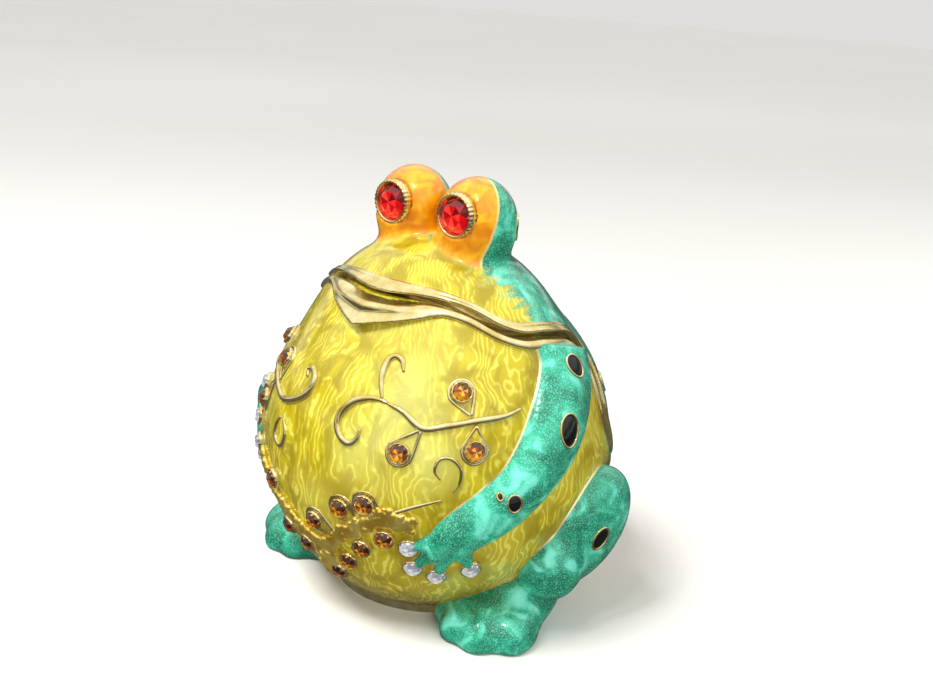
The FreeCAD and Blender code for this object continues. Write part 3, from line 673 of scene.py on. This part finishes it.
def roll(above_form, above_seam, middle, half_width, proud):
    """A rounded bead along the seam at a distance from it."""
    across = (above_seam - middle) / half_width
    above = (above_form + 0.1) / (proud + 0.1)
    return (np.sqrt(across ** 2 + above ** 2) - 1) * np.minimum(half_width, proud)


def upper_lip(points):
    """A two-stepped roll, nearly flush at the front and fuller along the cheeks."""
    height = form(points)
    level = seam(points)
    cheek = np.clip((points[..., 1] + 12) / 5, 0, 1)
    lower_bead = roll(height, level, SEAM_GAP + 0.33, 0.33, 0.2 + 0.32 * cheek)
    upper_bead = roll(height, level, 1.13, 0.22, 0.12 + 0.2 * cheek)
    return np.maximum(smooth_min(lower_bead, upper_bead, 0.12), -hinge_room(points))


def lower_lip(points):
    """A thin bead along the mouth that pouts at the chin: a hollow plate between two beads, tapering off
    to each side."""
    height = form(points)
    level = seam(points)
    chin = np.clip(1 - np.abs(points[..., 0]) / 7.5, 0, 1) ** 1.1 * (points[..., 1] < 0)
    below = -level - SEAM_GAP
    drop = 0.95 + 1.35 * chin
    hollow = np.cos(2 * np.pi * np.clip(below / drop, 0, 1))
    pout = 0.45 + chin * (0.75 + 0.22 * hollow)
    band = np.abs(below - drop / 2) - drop / 2
    shape = smooth_max(height - pout, band, 0.45)
    return np.maximum(np.maximum(shape, -height - 0.5), -hinge_room(points))


THIN = 0.17
for name, body, field, node in (("lower_lip", "base", lower_lip, "lower_lip_rim"),
                                ("upper_lip", "lid", upper_lip, "upper_lip_rim")):
    points, faces = surface(field, (-20, -17.5, 13), (20, 22.6, 41), THIN)
    make(name, body, points, faces, GOLD, [node])

# ---------------------------------------------------------------- arms, haunches and feet

LEFT_ARM = [(95, 46, 1.7), (93.5, 38, 1.75), (88, 28.5, 1.72), (80.5, 18.8, 1.62), (73.5, 11, 1.4),
            (66.5, 4, 1.2), (58.5, -2.5, 1.15), (51, -7.5, 1.0), (47, -9.5, 0.8)]
RIGHT_ARM = [(-97, 46, 1.3), (-95, 37, 1.2), (-92, 28, 1.05), (-88, 20, 0.95), (-82, 13, 0.85),
             (-76, 9.5, 0.75), (-70, 7, 0.65), (-65, 6, 0.55), (-61, 5.5, 0.45)]
LEFT_FINGERTIPS = [(33.6, -15), (35, -22.9), (42.7, -26), (53.5, -23)]
RIGHT_FINGERTIPS = [(-47.5, 14.5), (-42.5, 4.5), (-41, -3.8), (-46.5, -10.5)]


def arm_line(stations):
    line = smooth_line(stations, 5)
    radius = ARM_HALF_WIDTH * line[:, 2]
    crest = ARM_PROUD * np.minimum(1, line[:, 2])
    middle = on_form(line[:, 0], line[:, 1]) + outward(line[:, 0], line[:, 1]) * (crest - radius)[:, None]
    return np.concatenate([middle, radius[:, None]], axis=1)


def finger_line(hand, tip):
    """A finger from the hand to just short of its crystal."""
    line = []
    for share, radius in ((0.0, 1.5), (0.5, 1.0), (0.86, 0.62)):
        longitude = hand[0] + (tip[0] - hand[0]) * share
        latitude = hand[1] + (tip[1] - hand[1]) * share
        line.append((*on_form(longitude, latitude, 0.15), radius))
    return np.array(line)


def arm_field(stations, fingertips):
    line = arm_line(stations)
    fingers = [finger_line(stations[-1], tip) for tip in fingertips]

    def field(points):
        shape = limb(points, line)
        for finger in fingers:
            shape = smooth_min(shape, limb(points, finger), 1.0)
        under_lip = np.maximum(shape, seam(points) + 0.75)
        return np.maximum(under_lip, -form(points) - 0.9)
    return field


left_arm = arm_field(LEFT_ARM, LEFT_FINGERTIPS)
right_arm = arm_field(RIGHT_ARM, RIGHT_FINGERTIPS)

HAUNCH_MIDDLE = np.array([19.5, 3.4, 11.4])
HAUNCH_HALF = np.array([4.4, 6.1, 8.3])
KNUCKLE_MIDDLE = np.array([19.3, -1.6, 8.0])
KNUCKLE_RADIUS = 3.9
HAUNCH_TURN = turned((-0.92, 0.33, -0.21), 38.5)
ANKLE = np.array([16.8, -0.5, 0.0])
TOE_TIPS = [(10.2, -9.8), (13.1, -12.1), (16.6, -12.2), (20.0, -9.6)]
TOE_HALF = np.array([3.7, 2.5, 3.1])
INSTEP_MIDDLE = np.array([15.9, -3.6, 2.8])
INSTEP_HALF = np.array([7.2, 4.4, 4.2])
INSTEP_TIP = math.radians(24)
PLATE_ROOM_RADIUS = 12.3
HAUNCH_SPOT = (23.6, 2.05, 11.9)


def haunch(points):
    left = mirror_x(points)
    shape = ellipsoid(left, HAUNCH_MIDDLE, HAUNCH_HALF, HAUNCH_TURN)
    shape = smooth_min(shape, length(left - KNUCKLE_MIDDLE) - KNUCKLE_RADIUS, 1.5)
    return np.maximum(shape, -form(points) - 0.9)


def foot(points):
    left = mirror_x(points)
    level = math.cos(INSTEP_TIP)
    ahead = np.array([-1.6 * level, -7 * level, -7.18 * math.sin(INSTEP_TIP)])
    shape = ellipsoid(left, INSTEP_MIDDLE, INSTEP_HALF, axes(ahead))
    for tip in TOE_TIPS:
        along = np.array([*tip, 0.0]) - ANKLE
        along /= np.linalg.norm(along)
        middle = np.array([*tip, 1.2]) - along * 3.3
        shape = smooth_min(shape, ellipsoid(left, middle, TOE_HALF, axes(along)), 1.6)
    shape = smooth_max(shape, 0.02 - left[..., 2], 0.5)
    plate_room = np.maximum(np.hypot(left[..., 0], left[..., 1]) - PLATE_ROOM_RADIUS, left[..., 2] - 1.2)
    shape = np.maximum(shape, -plate_room)
    return np.maximum(shape, -form(points) - 0.9)


LIMB_STEP = 0.22


def limb_piece(name, field, low, high, nodes):
    points, faces = surface(field, low, high, LIMB_STEP)
    make(name, "base", points, faces, GREEN, nodes,
         values={"clear_of_ball": form(points)})


limb_piece("left_arm_enamel", left_arm, (9, -20.5, 6), (24.5, 5.5, 37), ["left_arm"])
limb_piece("right_arm_enamel", right_arm, (-24.5, -20.5, 10), (-9, 5.5, 37), ["right_arm"])
limb_piece("left_haunch_enamel", haunch, (12, -7.5, 1), (26, 13, 22), ["left_haunch"])
limb_piece("right_haunch_enamel", haunch, (-26, -7.5, 1), (-12, 13, 22), ["right_haunch"])
limb_piece("left_foot_enamel", foot, (7.5, -13, -0.6), (22.5, 5, 9), ["left_foot"])
limb_piece("right_foot_enamel", foot, (-22.5, -13, -0.6), (-7.5, 5, 9), ["right_foot"])

# ---------------------------------------------------------------- enamel spots with their gold rims


def spot(field, start, direction, half_width, half_length, lean=0.0):
    """An oval black cushion on a surface, and the gold wire round it."""
    turn = facing(direction)
    side = math.cos(lean) * turn[:, 1] + math.sin(lean) * turn[:, 2]
    up = -math.sin(lean) * turn[:, 1] + math.cos(lean) * turn[:, 2]
    sectors = 28
    angles = 2 * np.pi * np.arange(sectors) / sectors

    def ring(share):
        across = np.cos(angles)[:, None] * side * half_width
        along = np.sin(angles)[:, None] * up * half_length
        inside = np.array(start) - turn[:, 0] * 3 + (across + along) * share
        return cast(field, inside, np.broadcast_to(turn[:, 0], inside.shape), 0, 6)

    loops = [ring(1.0) - turn[:, 0] * 0.35]
    for share, rise in ((1.0, 0.02), (0.8, 0.1), (0.5, 0.14), (0.2, 0.16), (0.03, 0.16)):
        loops.append(ring(share) + turn[:, 0] * rise)
    disc = rings(loops)
    edge = ring(1.06) + turn[:, 0] * 0.05
    rim = tube(edge, 0.14, 8, True, 0.9, np.broadcast_to(turn[:, 0], edge.shape))
    return disc, rim


def spot_pieces(label, body, spots, disc_node, rim_node):
    points, faces = joined([disc for disc, _ in spots])
    make(label + "_black", body, points, faces, BLACK, [disc_node])
    points, faces = joined([rim for _, rim in spots])
    make(label + "_gold", body, points, faces, GOLD, [rim_node])


def ball_spot(field, longitude, latitude, half_width, half_length, lean=0.0):
    direction = outward(longitude, latitude)
    start = cast(field, BALL_MIDDLE, direction, 8, 36)
    return spot(field, start, direction, half_width, half_length, lean)


ARM_SPOTS = {
    "left": (left_arm, [(90, 35.2, 0.9, 1.3, 0.3), (80.7, 19, 1.2, 1.75, -0.3), (62, 2, 0.75, 0.9, 0.0),
                        (58.2, 3.9, 0.3, 0.36, 0.0)]),
    "right": (right_arm, [(-94, 35, 0.9, 1.3, -0.3), (-87.5, 19.3, 1.0, 1.5, 0.3),
                          (-76, 9.5, 0.6, 0.7, 0.0)]),
}
for side_name, (field, places) in ARM_SPOTS.items():
    spot_pieces(side_name + "_arm_spots", "base", [ball_spot(field, *place) for place in places],
                side_name + "_arm_spots", side_name + "_arm_spot_rims")
for side_name, sign in (("left", 1), ("right", -1)):
    away = np.array([sign * 0.92, -0.4, 0.01])
    haunch_spot = spot(haunch, (sign * HAUNCH_SPOT[0], *HAUNCH_SPOT[1:]), away, 0.9, 1.35, sign * -0.6)
    spot_pieces(side_name + "_haunch_spot", "base", [haunch_spot],
                side_name + "_haunch_spots", side_name + "_haunch_spot_rims")
    away = outward(sign * 124, -5)
    at_eye = EYE_MIDDLE * np.array([sign, 1, 1])
    eye_spot = spot(domes, cast(domes, at_eye, away, 0, 8), away, 0.9, 1.4)
    spot_pieces(side_name + "_dome_spot", "lid", [eye_spot],
                side_name + "_eye_spot", side_name + "_eye_spot_rim")
BACK_SPOTS = [(150, 38, 1.0, 1.4), (-150, 38, 1.0, 1.4), (128, 22, 0.9, 1.1), (-128, 22, 0.9, 1.1),
              (180, 22, 1.1, 1.5)]
spot_pieces("back_spots", "lid", [ball_spot(form, *place) for place in BACK_SPOTS],
            "back_spots", "back_spot_rims")

# ---------------------------------------------------------------- faceted crystals and their settings


def crystal(radius, crown, depth, middle, forward, seed):
    """A round crystal with a table, star, kite and girdle facets; each face gets a painted light value, a
    painted reflection off the foil.
    """
    turn = facing(forward)
    painted_facet_lights = np.random.default_rng(seed)
    points = []

    def circle(count, size, height, shift=0.0):
        first = len(points)
        for index in range(count):
            angle = 2 * math.pi * (index + shift) / count
            points.append(middle + turn[:, 0] * height
                          + size * radius * (math.cos(angle) * turn[:, 1] + math.sin(angle) * turn[:, 2]))
        return first

    table = circle(8, 0.56, crown, 0.5)
    kites = circle(8, 0.8, crown * 0.62)
    girdle = circle(16, 1.0, crown * 0.12)
    under = circle(16, 1.0, 0.0)
    centre = circle(1, 0.0, crown)
    point = circle(1, 0.0, -depth)
    faces = []
    painted_facet_light = []
    for index in range(8):
        after = (index + 1) % 8
        kite = kites + after
        # glint paints the crown facets on one side brighter, a painted reflection
        glint = 0.5 + 0.5 * math.cos(2 * math.pi * index / 8 + 2.4)
        faces.append((table + index, table + after, centre))
        painted_facet_light.append(0.2 + 0.75 * ((index * 3) % 8) / 7)
        faces.append((table + index, kite, table + after))
        painted_facet_light.append(0.15 + 0.7 * glint)
        girdles = [girdle + (2 * index + 1 + step) % 16 for step in range(3)]
        faces.append((table + index, kites + index, girdles[0], kite))
        painted_facet_light.append(glint * 0.9)
        faces.append((kite, girdles[0], girdles[1]))
        painted_facet_light.append(painted_facet_lights.uniform(0.1, 0.9))
        faces.append((kite, girdles[1], girdles[2]))
        painted_facet_light.append(painted_facet_lights.uniform(0.1, 0.9))
    for index in range(16):
        after = (index + 1) % 16
        faces.append((girdle + index, under + index, under + after, girdle + after))
        painted_facet_light.append(0.4)
        faces.append((under + index, point, under + after))
        painted_facet_light.append(0.3)
    return np.array(points), faces, painted_facet_light


def stones(label, body, places, material, radius, crown, depth, first_seed):
    """A set of crystals; each place is (middle, direction)."""
    parts = []
    painted_facet_light = []
    for index, (middle, forward) in enumerate(places):
        points, faces, some = crystal(radius, crown, depth, middle, forward, first_seed + index)
        parts.append((points, faces))
        painted_facet_light.extend(some)
    points, faces = joined(parts)
    make(label + "_stones", body, points, faces, material, [label], smooth=False,
         painted_facet_lights=painted_facet_light)


def scallops(count, depth, edge):
    """Notches all round the outline points listed in edge."""
    def ripple(sector, place):
        return -depth if place in edge and sector % (2 * count) >= count else 0.0
    return ripple


FRONT = np.array([0.0, -1.0, 0.0])
for side_name, sign in (("left", 1), ("right", -1)):
    middle = np.array([sign * EYE_MIDDLE[0], EYE_SEAT_Y, EYE_CRYSTAL_Z])
    outline = [(2.12, 0.0), (2.62, 0.0), (2.62, 1.0), (2.52, 1.3), (2.3, 1.42), (2.16, 1.2), (2.12, 0.5)]
    points, faces = lathe(outline, middle, FRONT, 128, scallops(2, 0.035, (2, 3)))
    make(side_name + "_bezel", "lid", points, faces, GOLD, [side_name + "_eye_bezel"])
    stones(side_name + "_eye_crystal", "lid", [(middle + FRONT * 0.55, FRONT)], RED,
           EYE_CRYSTAL_RADIUS, 1.05, 0.5, 11)

LEFT_LEAF_CRYSTALS = [(47.6, 32.9), (51.6, 16.1), (29.3, 14.4)]
RIGHT_LEAF_CRYSTALS = [(-31.5, 28.8), (-48, 32), (-37.8, 12.5)]
GARLAND_CRYSTALS = [(20, -2.6), (12, -5.8), (1.7, -13.4), (26.2, -13), (18.6, -18.4), (12.8, -25.4),
                    (6.1, -33.2), (-5.7, -25.4), (-15.2, -22.6), (-20, -7.6)]
CUP_OUTLINE = [(0.98, -0.3), (1.2, -0.3), (1.2, 0.3), (1.18, 0.55), (1.08, 0.6), (0.99, 0.45)]


def seats(places, height=0.0):
    """Middle and direction of crystals standing on the ball."""
    found = []
    for longitude, latitude in places:
        direction = outward(longitude, latitude)
        found.append((on_form(longitude, latitude, height), direction))
    return found


def cups(places):
    return [lathe(CUP_OUTLINE, middle, direction, 48, scallops(2, 0.05, (2, 3, 4)))
            for middle, direction in seats(places)]


CUP_FLOOR = 0.4
for label, places, material, slot_name in (
        ("belly_crystals_left", LEFT_LEAF_CRYSTALS, AMBER, "amber_crystal"),
        ("belly_crystals_right", RIGHT_LEAF_CRYSTALS, AMBER, "amber_crystal"),
        ("garland_crystals", GARLAND_CRYSTALS, AMBER, "amber_crystal"),
        ("left_hand_crystals", LEFT_FINGERTIPS, CLEAR, "clear_crystal"),
        ("right_hand_crystals", RIGHT_FINGERTIPS, CLEAR, "clear_crystal")):
    stones(label, "base", seats(places, CUP_FLOOR), material,
           SMALL_CRYSTAL_RADIUS, 0.62, 0.4, 31)

# ---------------------------------------------------------------- gold wires laid on the belly


def wire(places, radius, taper=0.45, squash=0.9, closed=False, steps=8):
    """A half-sunk wire through places on the ball, thinner towards its free ends."""
    stations = np.array(places, float)
    if closed:
        stations = np.concatenate([stations, stations[:1]])
    line = smooth_line(stations, steps)
    if closed:
        line = line[:-1]
    path = on_form(line[:, 0], line[:, 1], radius * 0.2)
    share = np.linspace(0, 1, len(line))
    radii = radius if closed else radius * (1 - (1 - taper) * np.clip(np.abs(2 * share - 1) * 2 - 1, 0, 1))
    return tube(path, radii, 10, closed, squash, outward(line[:, 0], line[:, 1]))


def leaf(crystal_place, tip, radius):
    """Teardrop outline from the leaf's tip round its crystal and back."""
    longitude, latitude = crystal_place
    shrink = math.cos(math.radians(latitude))
    per_degree = math.radians(BALL_RADIUS)
    away_east = (longitude - tip[0]) * shrink
    away_north = latitude - tip[1]
    reach = math.hypot(away_east, away_north)
    heading = math.atan2(away_north, away_east)
    size = 1.38 / per_degree
    outline = [tip]
    for turn in np.linspace(-115, 115, 9):
        angle = heading + math.radians(turn)
        outline.append((longitude + size * math.cos(angle) / shrink, latitude + size * math.sin(angle)))
    outline.append(tip)
    return wire(outline, radius, 1.0)


LEFT_STEM = [(68, 27.4), (61.8, 25.7), (52.4, 24.7), (43.6, 23.3), (35.6, 22.1), (29.1, 26), (23.2, 28)]
LEFT_CURL_UP = [(21.2, 28.6), (19, 35), (19.4, 40.3), (22, 42.1), (25, 41), (26.5, 37.7)]
LEFT_CURL_DOWN = [(23.2, 28), (20, 28.6), (16.1, 28.3), (11.4, 26.4), (8.3, 23), (7.7, 19.1), (9.8, 15.7),
                  (13.2, 14.4), (15.5, 16.5), (15.8, 19.2)]
LEFT_HOOK = [(41.8, 7.7), (40, 10.3), (41.3, 13.6), (44.8, 13.9), (47.6, 11), (47.4, 6.7), (45.7, 4.1)]
RIGHT_STEM = [(-11.9, 28.5), (-13, 30.6), (-10.3, 31.2), (-7.6, 28.6), (-8.5, 24.1), (-13.8, 20.4),
              (-21.1, 18.6), (-29.7, 20.8), (-39, 23), (-52, 23)]
RIGHT_LOOP = [(-17.6, 13.2), (-14.6, 10.8), (-14.3, 7.2), (-16.5, 4.6), (-20.3, 6.2), (-20.8, 10.2),
              (-18.9, 13.2)]

LEFT_LEAF_TIPS = [(50.7, 26.0), (52.3, 23.4), (35.2, 21.8)]
RIGHT_LEAF_TIPS = [(-28.5, 21.5), (-42, 24), (-33, 21)]
GARLAND_LEAF_TIPS = [(25.5, -5.2), (17.5, -9.6), (9.6, -16.2)]
GARLAND_NEAR = [(42.5, 1.6), (34.6, -1.2), (27, -5), (21.2, -8.1), (14.7, -12.9), (7.9, -19.2),
                (5.4, -22.2)]
GARLAND_FAR = [(5.4, -22.2), (2.4, -22.2), (-5.6, -19.6), (-14, -15.6), (-21, -12.6), (-28, -7.5),
               (-33, -4)]


def relief(name, node, crystals, leaf_tips, wires, leaf_radius=0.2):
    """Gold relief: a cup for every crystal, leaves round the first few, and wires."""
    leaves = [leaf(place, tip, leaf_radius) for place, tip in zip(crystals, leaf_tips)]
    points, faces = joined(cups(crystals) + leaves + wires)
    make(name, "base", points, faces, GOLD, [node])


relief("scroll_left", "belly_scroll_left", LEFT_LEAF_CRYSTALS, LEFT_LEAF_TIPS,
       [wire(LEFT_STEM, 0.4), wire(LEFT_CURL_UP, 0.38), wire(LEFT_CURL_DOWN, 0.4), wire(LEFT_HOOK, 0.2)])
relief("scroll_right", "belly_scroll_right", RIGHT_LEAF_CRYSTALS, RIGHT_LEAF_TIPS,
       [wire(RIGHT_STEM, 0.4), wire(RIGHT_LOOP, 0.26)])
relief("garland_wires", "garland", GARLAND_CRYSTALS, GARLAND_LEAF_TIPS,
       [wire(GARLAND_NEAR, 0.3), wire(GARLAND_FAR, 0.3)], 0.22)


def grains(line, width, count, seed):
    """Small gold beads scattered along a line on the ball, in degrees; rows are x, y, z, radius."""
    random = np.random.default_rng(seed)
    beads = []
    for index in range(count):
        share = (index + random.uniform(0, 1)) / count * (len(line) - 1)
        first = min(int(share), len(line) - 2)
        longitude, latitude = line[first] + (line[first + 1] - line[first]) * (share - first)
        longitude += random.uniform(-width, width)
        latitude += random.uniform(-width, width)
        beads.append((*on_form(longitude, latitude, 0.2), random.uniform(0.28, 0.5)))
    return np.array(beads)


beads = np.concatenate([
    grains(smooth_line(GARLAND_NEAR[2:], 6), 2.0, 170, 3),
    grains(smooth_line(GARLAND_FAR, 6), 1.3, 120, 4),
    grains(smooth_line([(25, -5), (34, -7.5)], 6), 2.6, 110, 5),
    grains(smooth_line([(4, -27), (-1.6, -36.3)], 6), 2.8, 110, 6),
])


def grain_field(points):
    best = np.full(points.shape[:-1], 1e9)
    for bead in beads:
        best = np.minimum(best, length(points - bead[:3]) - bead[3])
    return best


GRAIN_STEP = 0.13
points, faces = surface(grain_field, beads[:, :3].min(0) - 1, beads[:, :3].max(0) + 1, GRAIN_STEP)
make("garland_grains", "base", points, faces, GOLD_ROUGH)


def finger_wires(hand, tips):
    """A fine gold wire along the line of each finger, from partway out of the hand to near its tip."""
    made = []
    for tip in tips:
        line = []
        for share in (0.42, 0.62, 0.84):
            line.append((hand[0] + (tip[0] - hand[0]) * share, hand[1] + (tip[1] - hand[1]) * share))
        made.append(wire(line, 0.2, 0.8))
    return made


for side_name, stations, tips in (("left", LEFT_ARM, LEFT_FINGERTIPS),
                                  ("right", RIGHT_ARM, RIGHT_FINGERTIPS)):
    points, faces = joined(cups(tips) + finger_wires(stations[-1], tips))
    make(side_name + "_finger_cups", "base", points, faces, GOLD, [side_name + "_hand_settings"])

# ---------------------------------------------------------------- CAD pieces that are shown as they are

for names, material in ((("inner_flange", "hinge_base_knuckles", "hinge_lid_knuckle", "base_plate"), GOLD),
                        (("base_magnet", "lid_magnet"), NICKEL), (("hinge_pin",), STEEL)):
    for name in names:
        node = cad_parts[name]
        node.data.materials.clear()
        node.data.materials.append(material)

# ---------------------------------------------------------------- floor, light and camera


def stage_floor():
    mesh = bpy.data.meshes.new("floor")
    half = 3.0
    corners = [(-half, -half, 0), (half, -half, 0), (half, half, 0), (-half, half, 0)]
    mesh.from_pydata(corners, [], [(0, 1, 2, 3)])
    nodes = Nodes("floor_paper")
    place = nodes.place()
    paper = nodes.mix(nodes.noise(place, 0.004, 2.0), rgb(222, 220, 215), rgb(232, 230, 226))
    away = nodes.add("ShaderNodeVectorMath", operation="LENGTH")
    nodes.link(place, away.inputs[0])
    far_glow = nodes.sum("MULTIPLY", nodes.step(away.outputs["Value"], 60.0, 700.0), 0.42)
    mesh.materials.append(nodes.set(Base_Color=paper, Roughness=0.7, Emission_Color=paper,
                                    Emission_Strength=far_glow))
    piece = bpy.data.objects.new("floor", mesh)
    piece.visible_glossy = False
    bpy.context.scene.collection.objects.link(piece)


def lamp(name, place, size, power, mirrored=False):
    """A soft square lamp that looks at the middle of the frog; place and size in metres."""
    light = bpy.data.lights.new(name, "AREA")
    light.size = size
    light.energy = power
    piece = bpy.data.objects.new(name, light)
    piece.visible_glossy = mirrored
    piece.location = place
    piece.rotation_euler = (Vector(place) - Vector((0, 0, 0.024))).to_track_quat("Z", "Y").to_euler()
    bpy.context.scene.collection.objects.link(piece)


stage_floor()
lamp("key", (-0.08, -0.2, 0.4), 0.16, 2.4)
lamp("fill", (0.34, -0.2, 0.24), 0.2, 0.7)
lamp("rim", (0.12, 0.3, 0.26), 0.12, 0.4)
lamp("glint", (0.05, -0.18, 0.34), 0.03, 0.16, True)

# what shiny surfaces mirror: dark below, a dim horizon and a bright softbox overhead
BANDS = [(0.0, 0.07), (0.12, 0.72), (0.27, 0.13), (0.46, 0.85), (0.85, 1.0)]
MIRRORED_BRIGHTNESS = 1.25
AMBIENT = (0.42, 0.414, 0.405, 1)
BACKDROP = (0.74, 0.73, 0.715, 1)


def studio():
    """A world that shows one brightness to the camera, another to matt surfaces and bands to shiny ones."""
    world = bpy.data.worlds.new("studio")
    world.use_nodes = True
    bpy.context.scene.world = world
    sky = world.node_tree
    toward = sky.nodes.new("ShaderNodeTexCoord")
    split = sky.nodes.new("ShaderNodeSeparateXYZ")
    ramp = sky.nodes.new("ShaderNodeValToRGB")
    mirrored = sky.nodes.new("ShaderNodeVectorMath")
    path = sky.nodes.new("ShaderNodeLightPath")
    for position, _ in BANDS[2:]:
        ramp.color_ramp.elements.new(position)
    for element, (position, brightness) in zip(ramp.color_ramp.elements, BANDS):
        element.position = position
        element.color = (brightness, brightness, brightness * 0.97, 1)
    mirrored.operation = "SCALE"
    mirrored.inputs["Scale"].default_value = MIRRORED_BRIGHTNESS
    seen, chosen = [sky.nodes.new("ShaderNodeMix") for _ in range(2)]
    seen.data_type = "RGBA"
    chosen.data_type = "RGBA"
    seen.inputs[6].default_value = AMBIENT
    seen.inputs[7].default_value = BACKDROP
    for source, target in (
            (toward.outputs["Generated"], split.inputs[0]), (split.outputs["Z"], ramp.inputs[0]),
            (ramp.outputs[0], mirrored.inputs[0]), (path.outputs["Is Camera Ray"], seen.inputs[0]),
            (path.outputs["Is Glossy Ray"], chosen.inputs[0]), (seen.outputs[2], chosen.inputs[6]),
            (mirrored.outputs[0], chosen.inputs[7]), (chosen.outputs[2], sky.nodes["Background"].inputs[0])):
        sky.links.new(source, target)
    sky.nodes["Background"].inputs[1].default_value = 1.0


studio()
bpy.context.scene.view_settings.view_transform = "Standard"

CAMERA_PLACE = Vector((83.289, -99.259, 70.851)) * MM
CAMERA_RIGHT = Vector((0.7655, 0.6401, 0.0655))
CAMERA_UP = Vector((-0.2448, 0.1955, 0.9497))
CAMERA_BACK = Vector((0.595, -0.743, 0.3064))
lens = bpy.data.cameras.new("camera")
lens.sensor_width = 36
lens.lens = 43.37
lens.clip_start = 0.01
lens.clip_end = 20
camera = bpy.data.objects.new("camera", lens)
turn = Matrix((CAMERA_RIGHT, CAMERA_UP, CAMERA_BACK)).transposed().to_4x4()
camera.matrix_world = Matrix.Translation(CAMERA_PLACE) @ turn
bpy.context.scene.collection.objects.link(camera)
bpy.context.scene.camera = camera
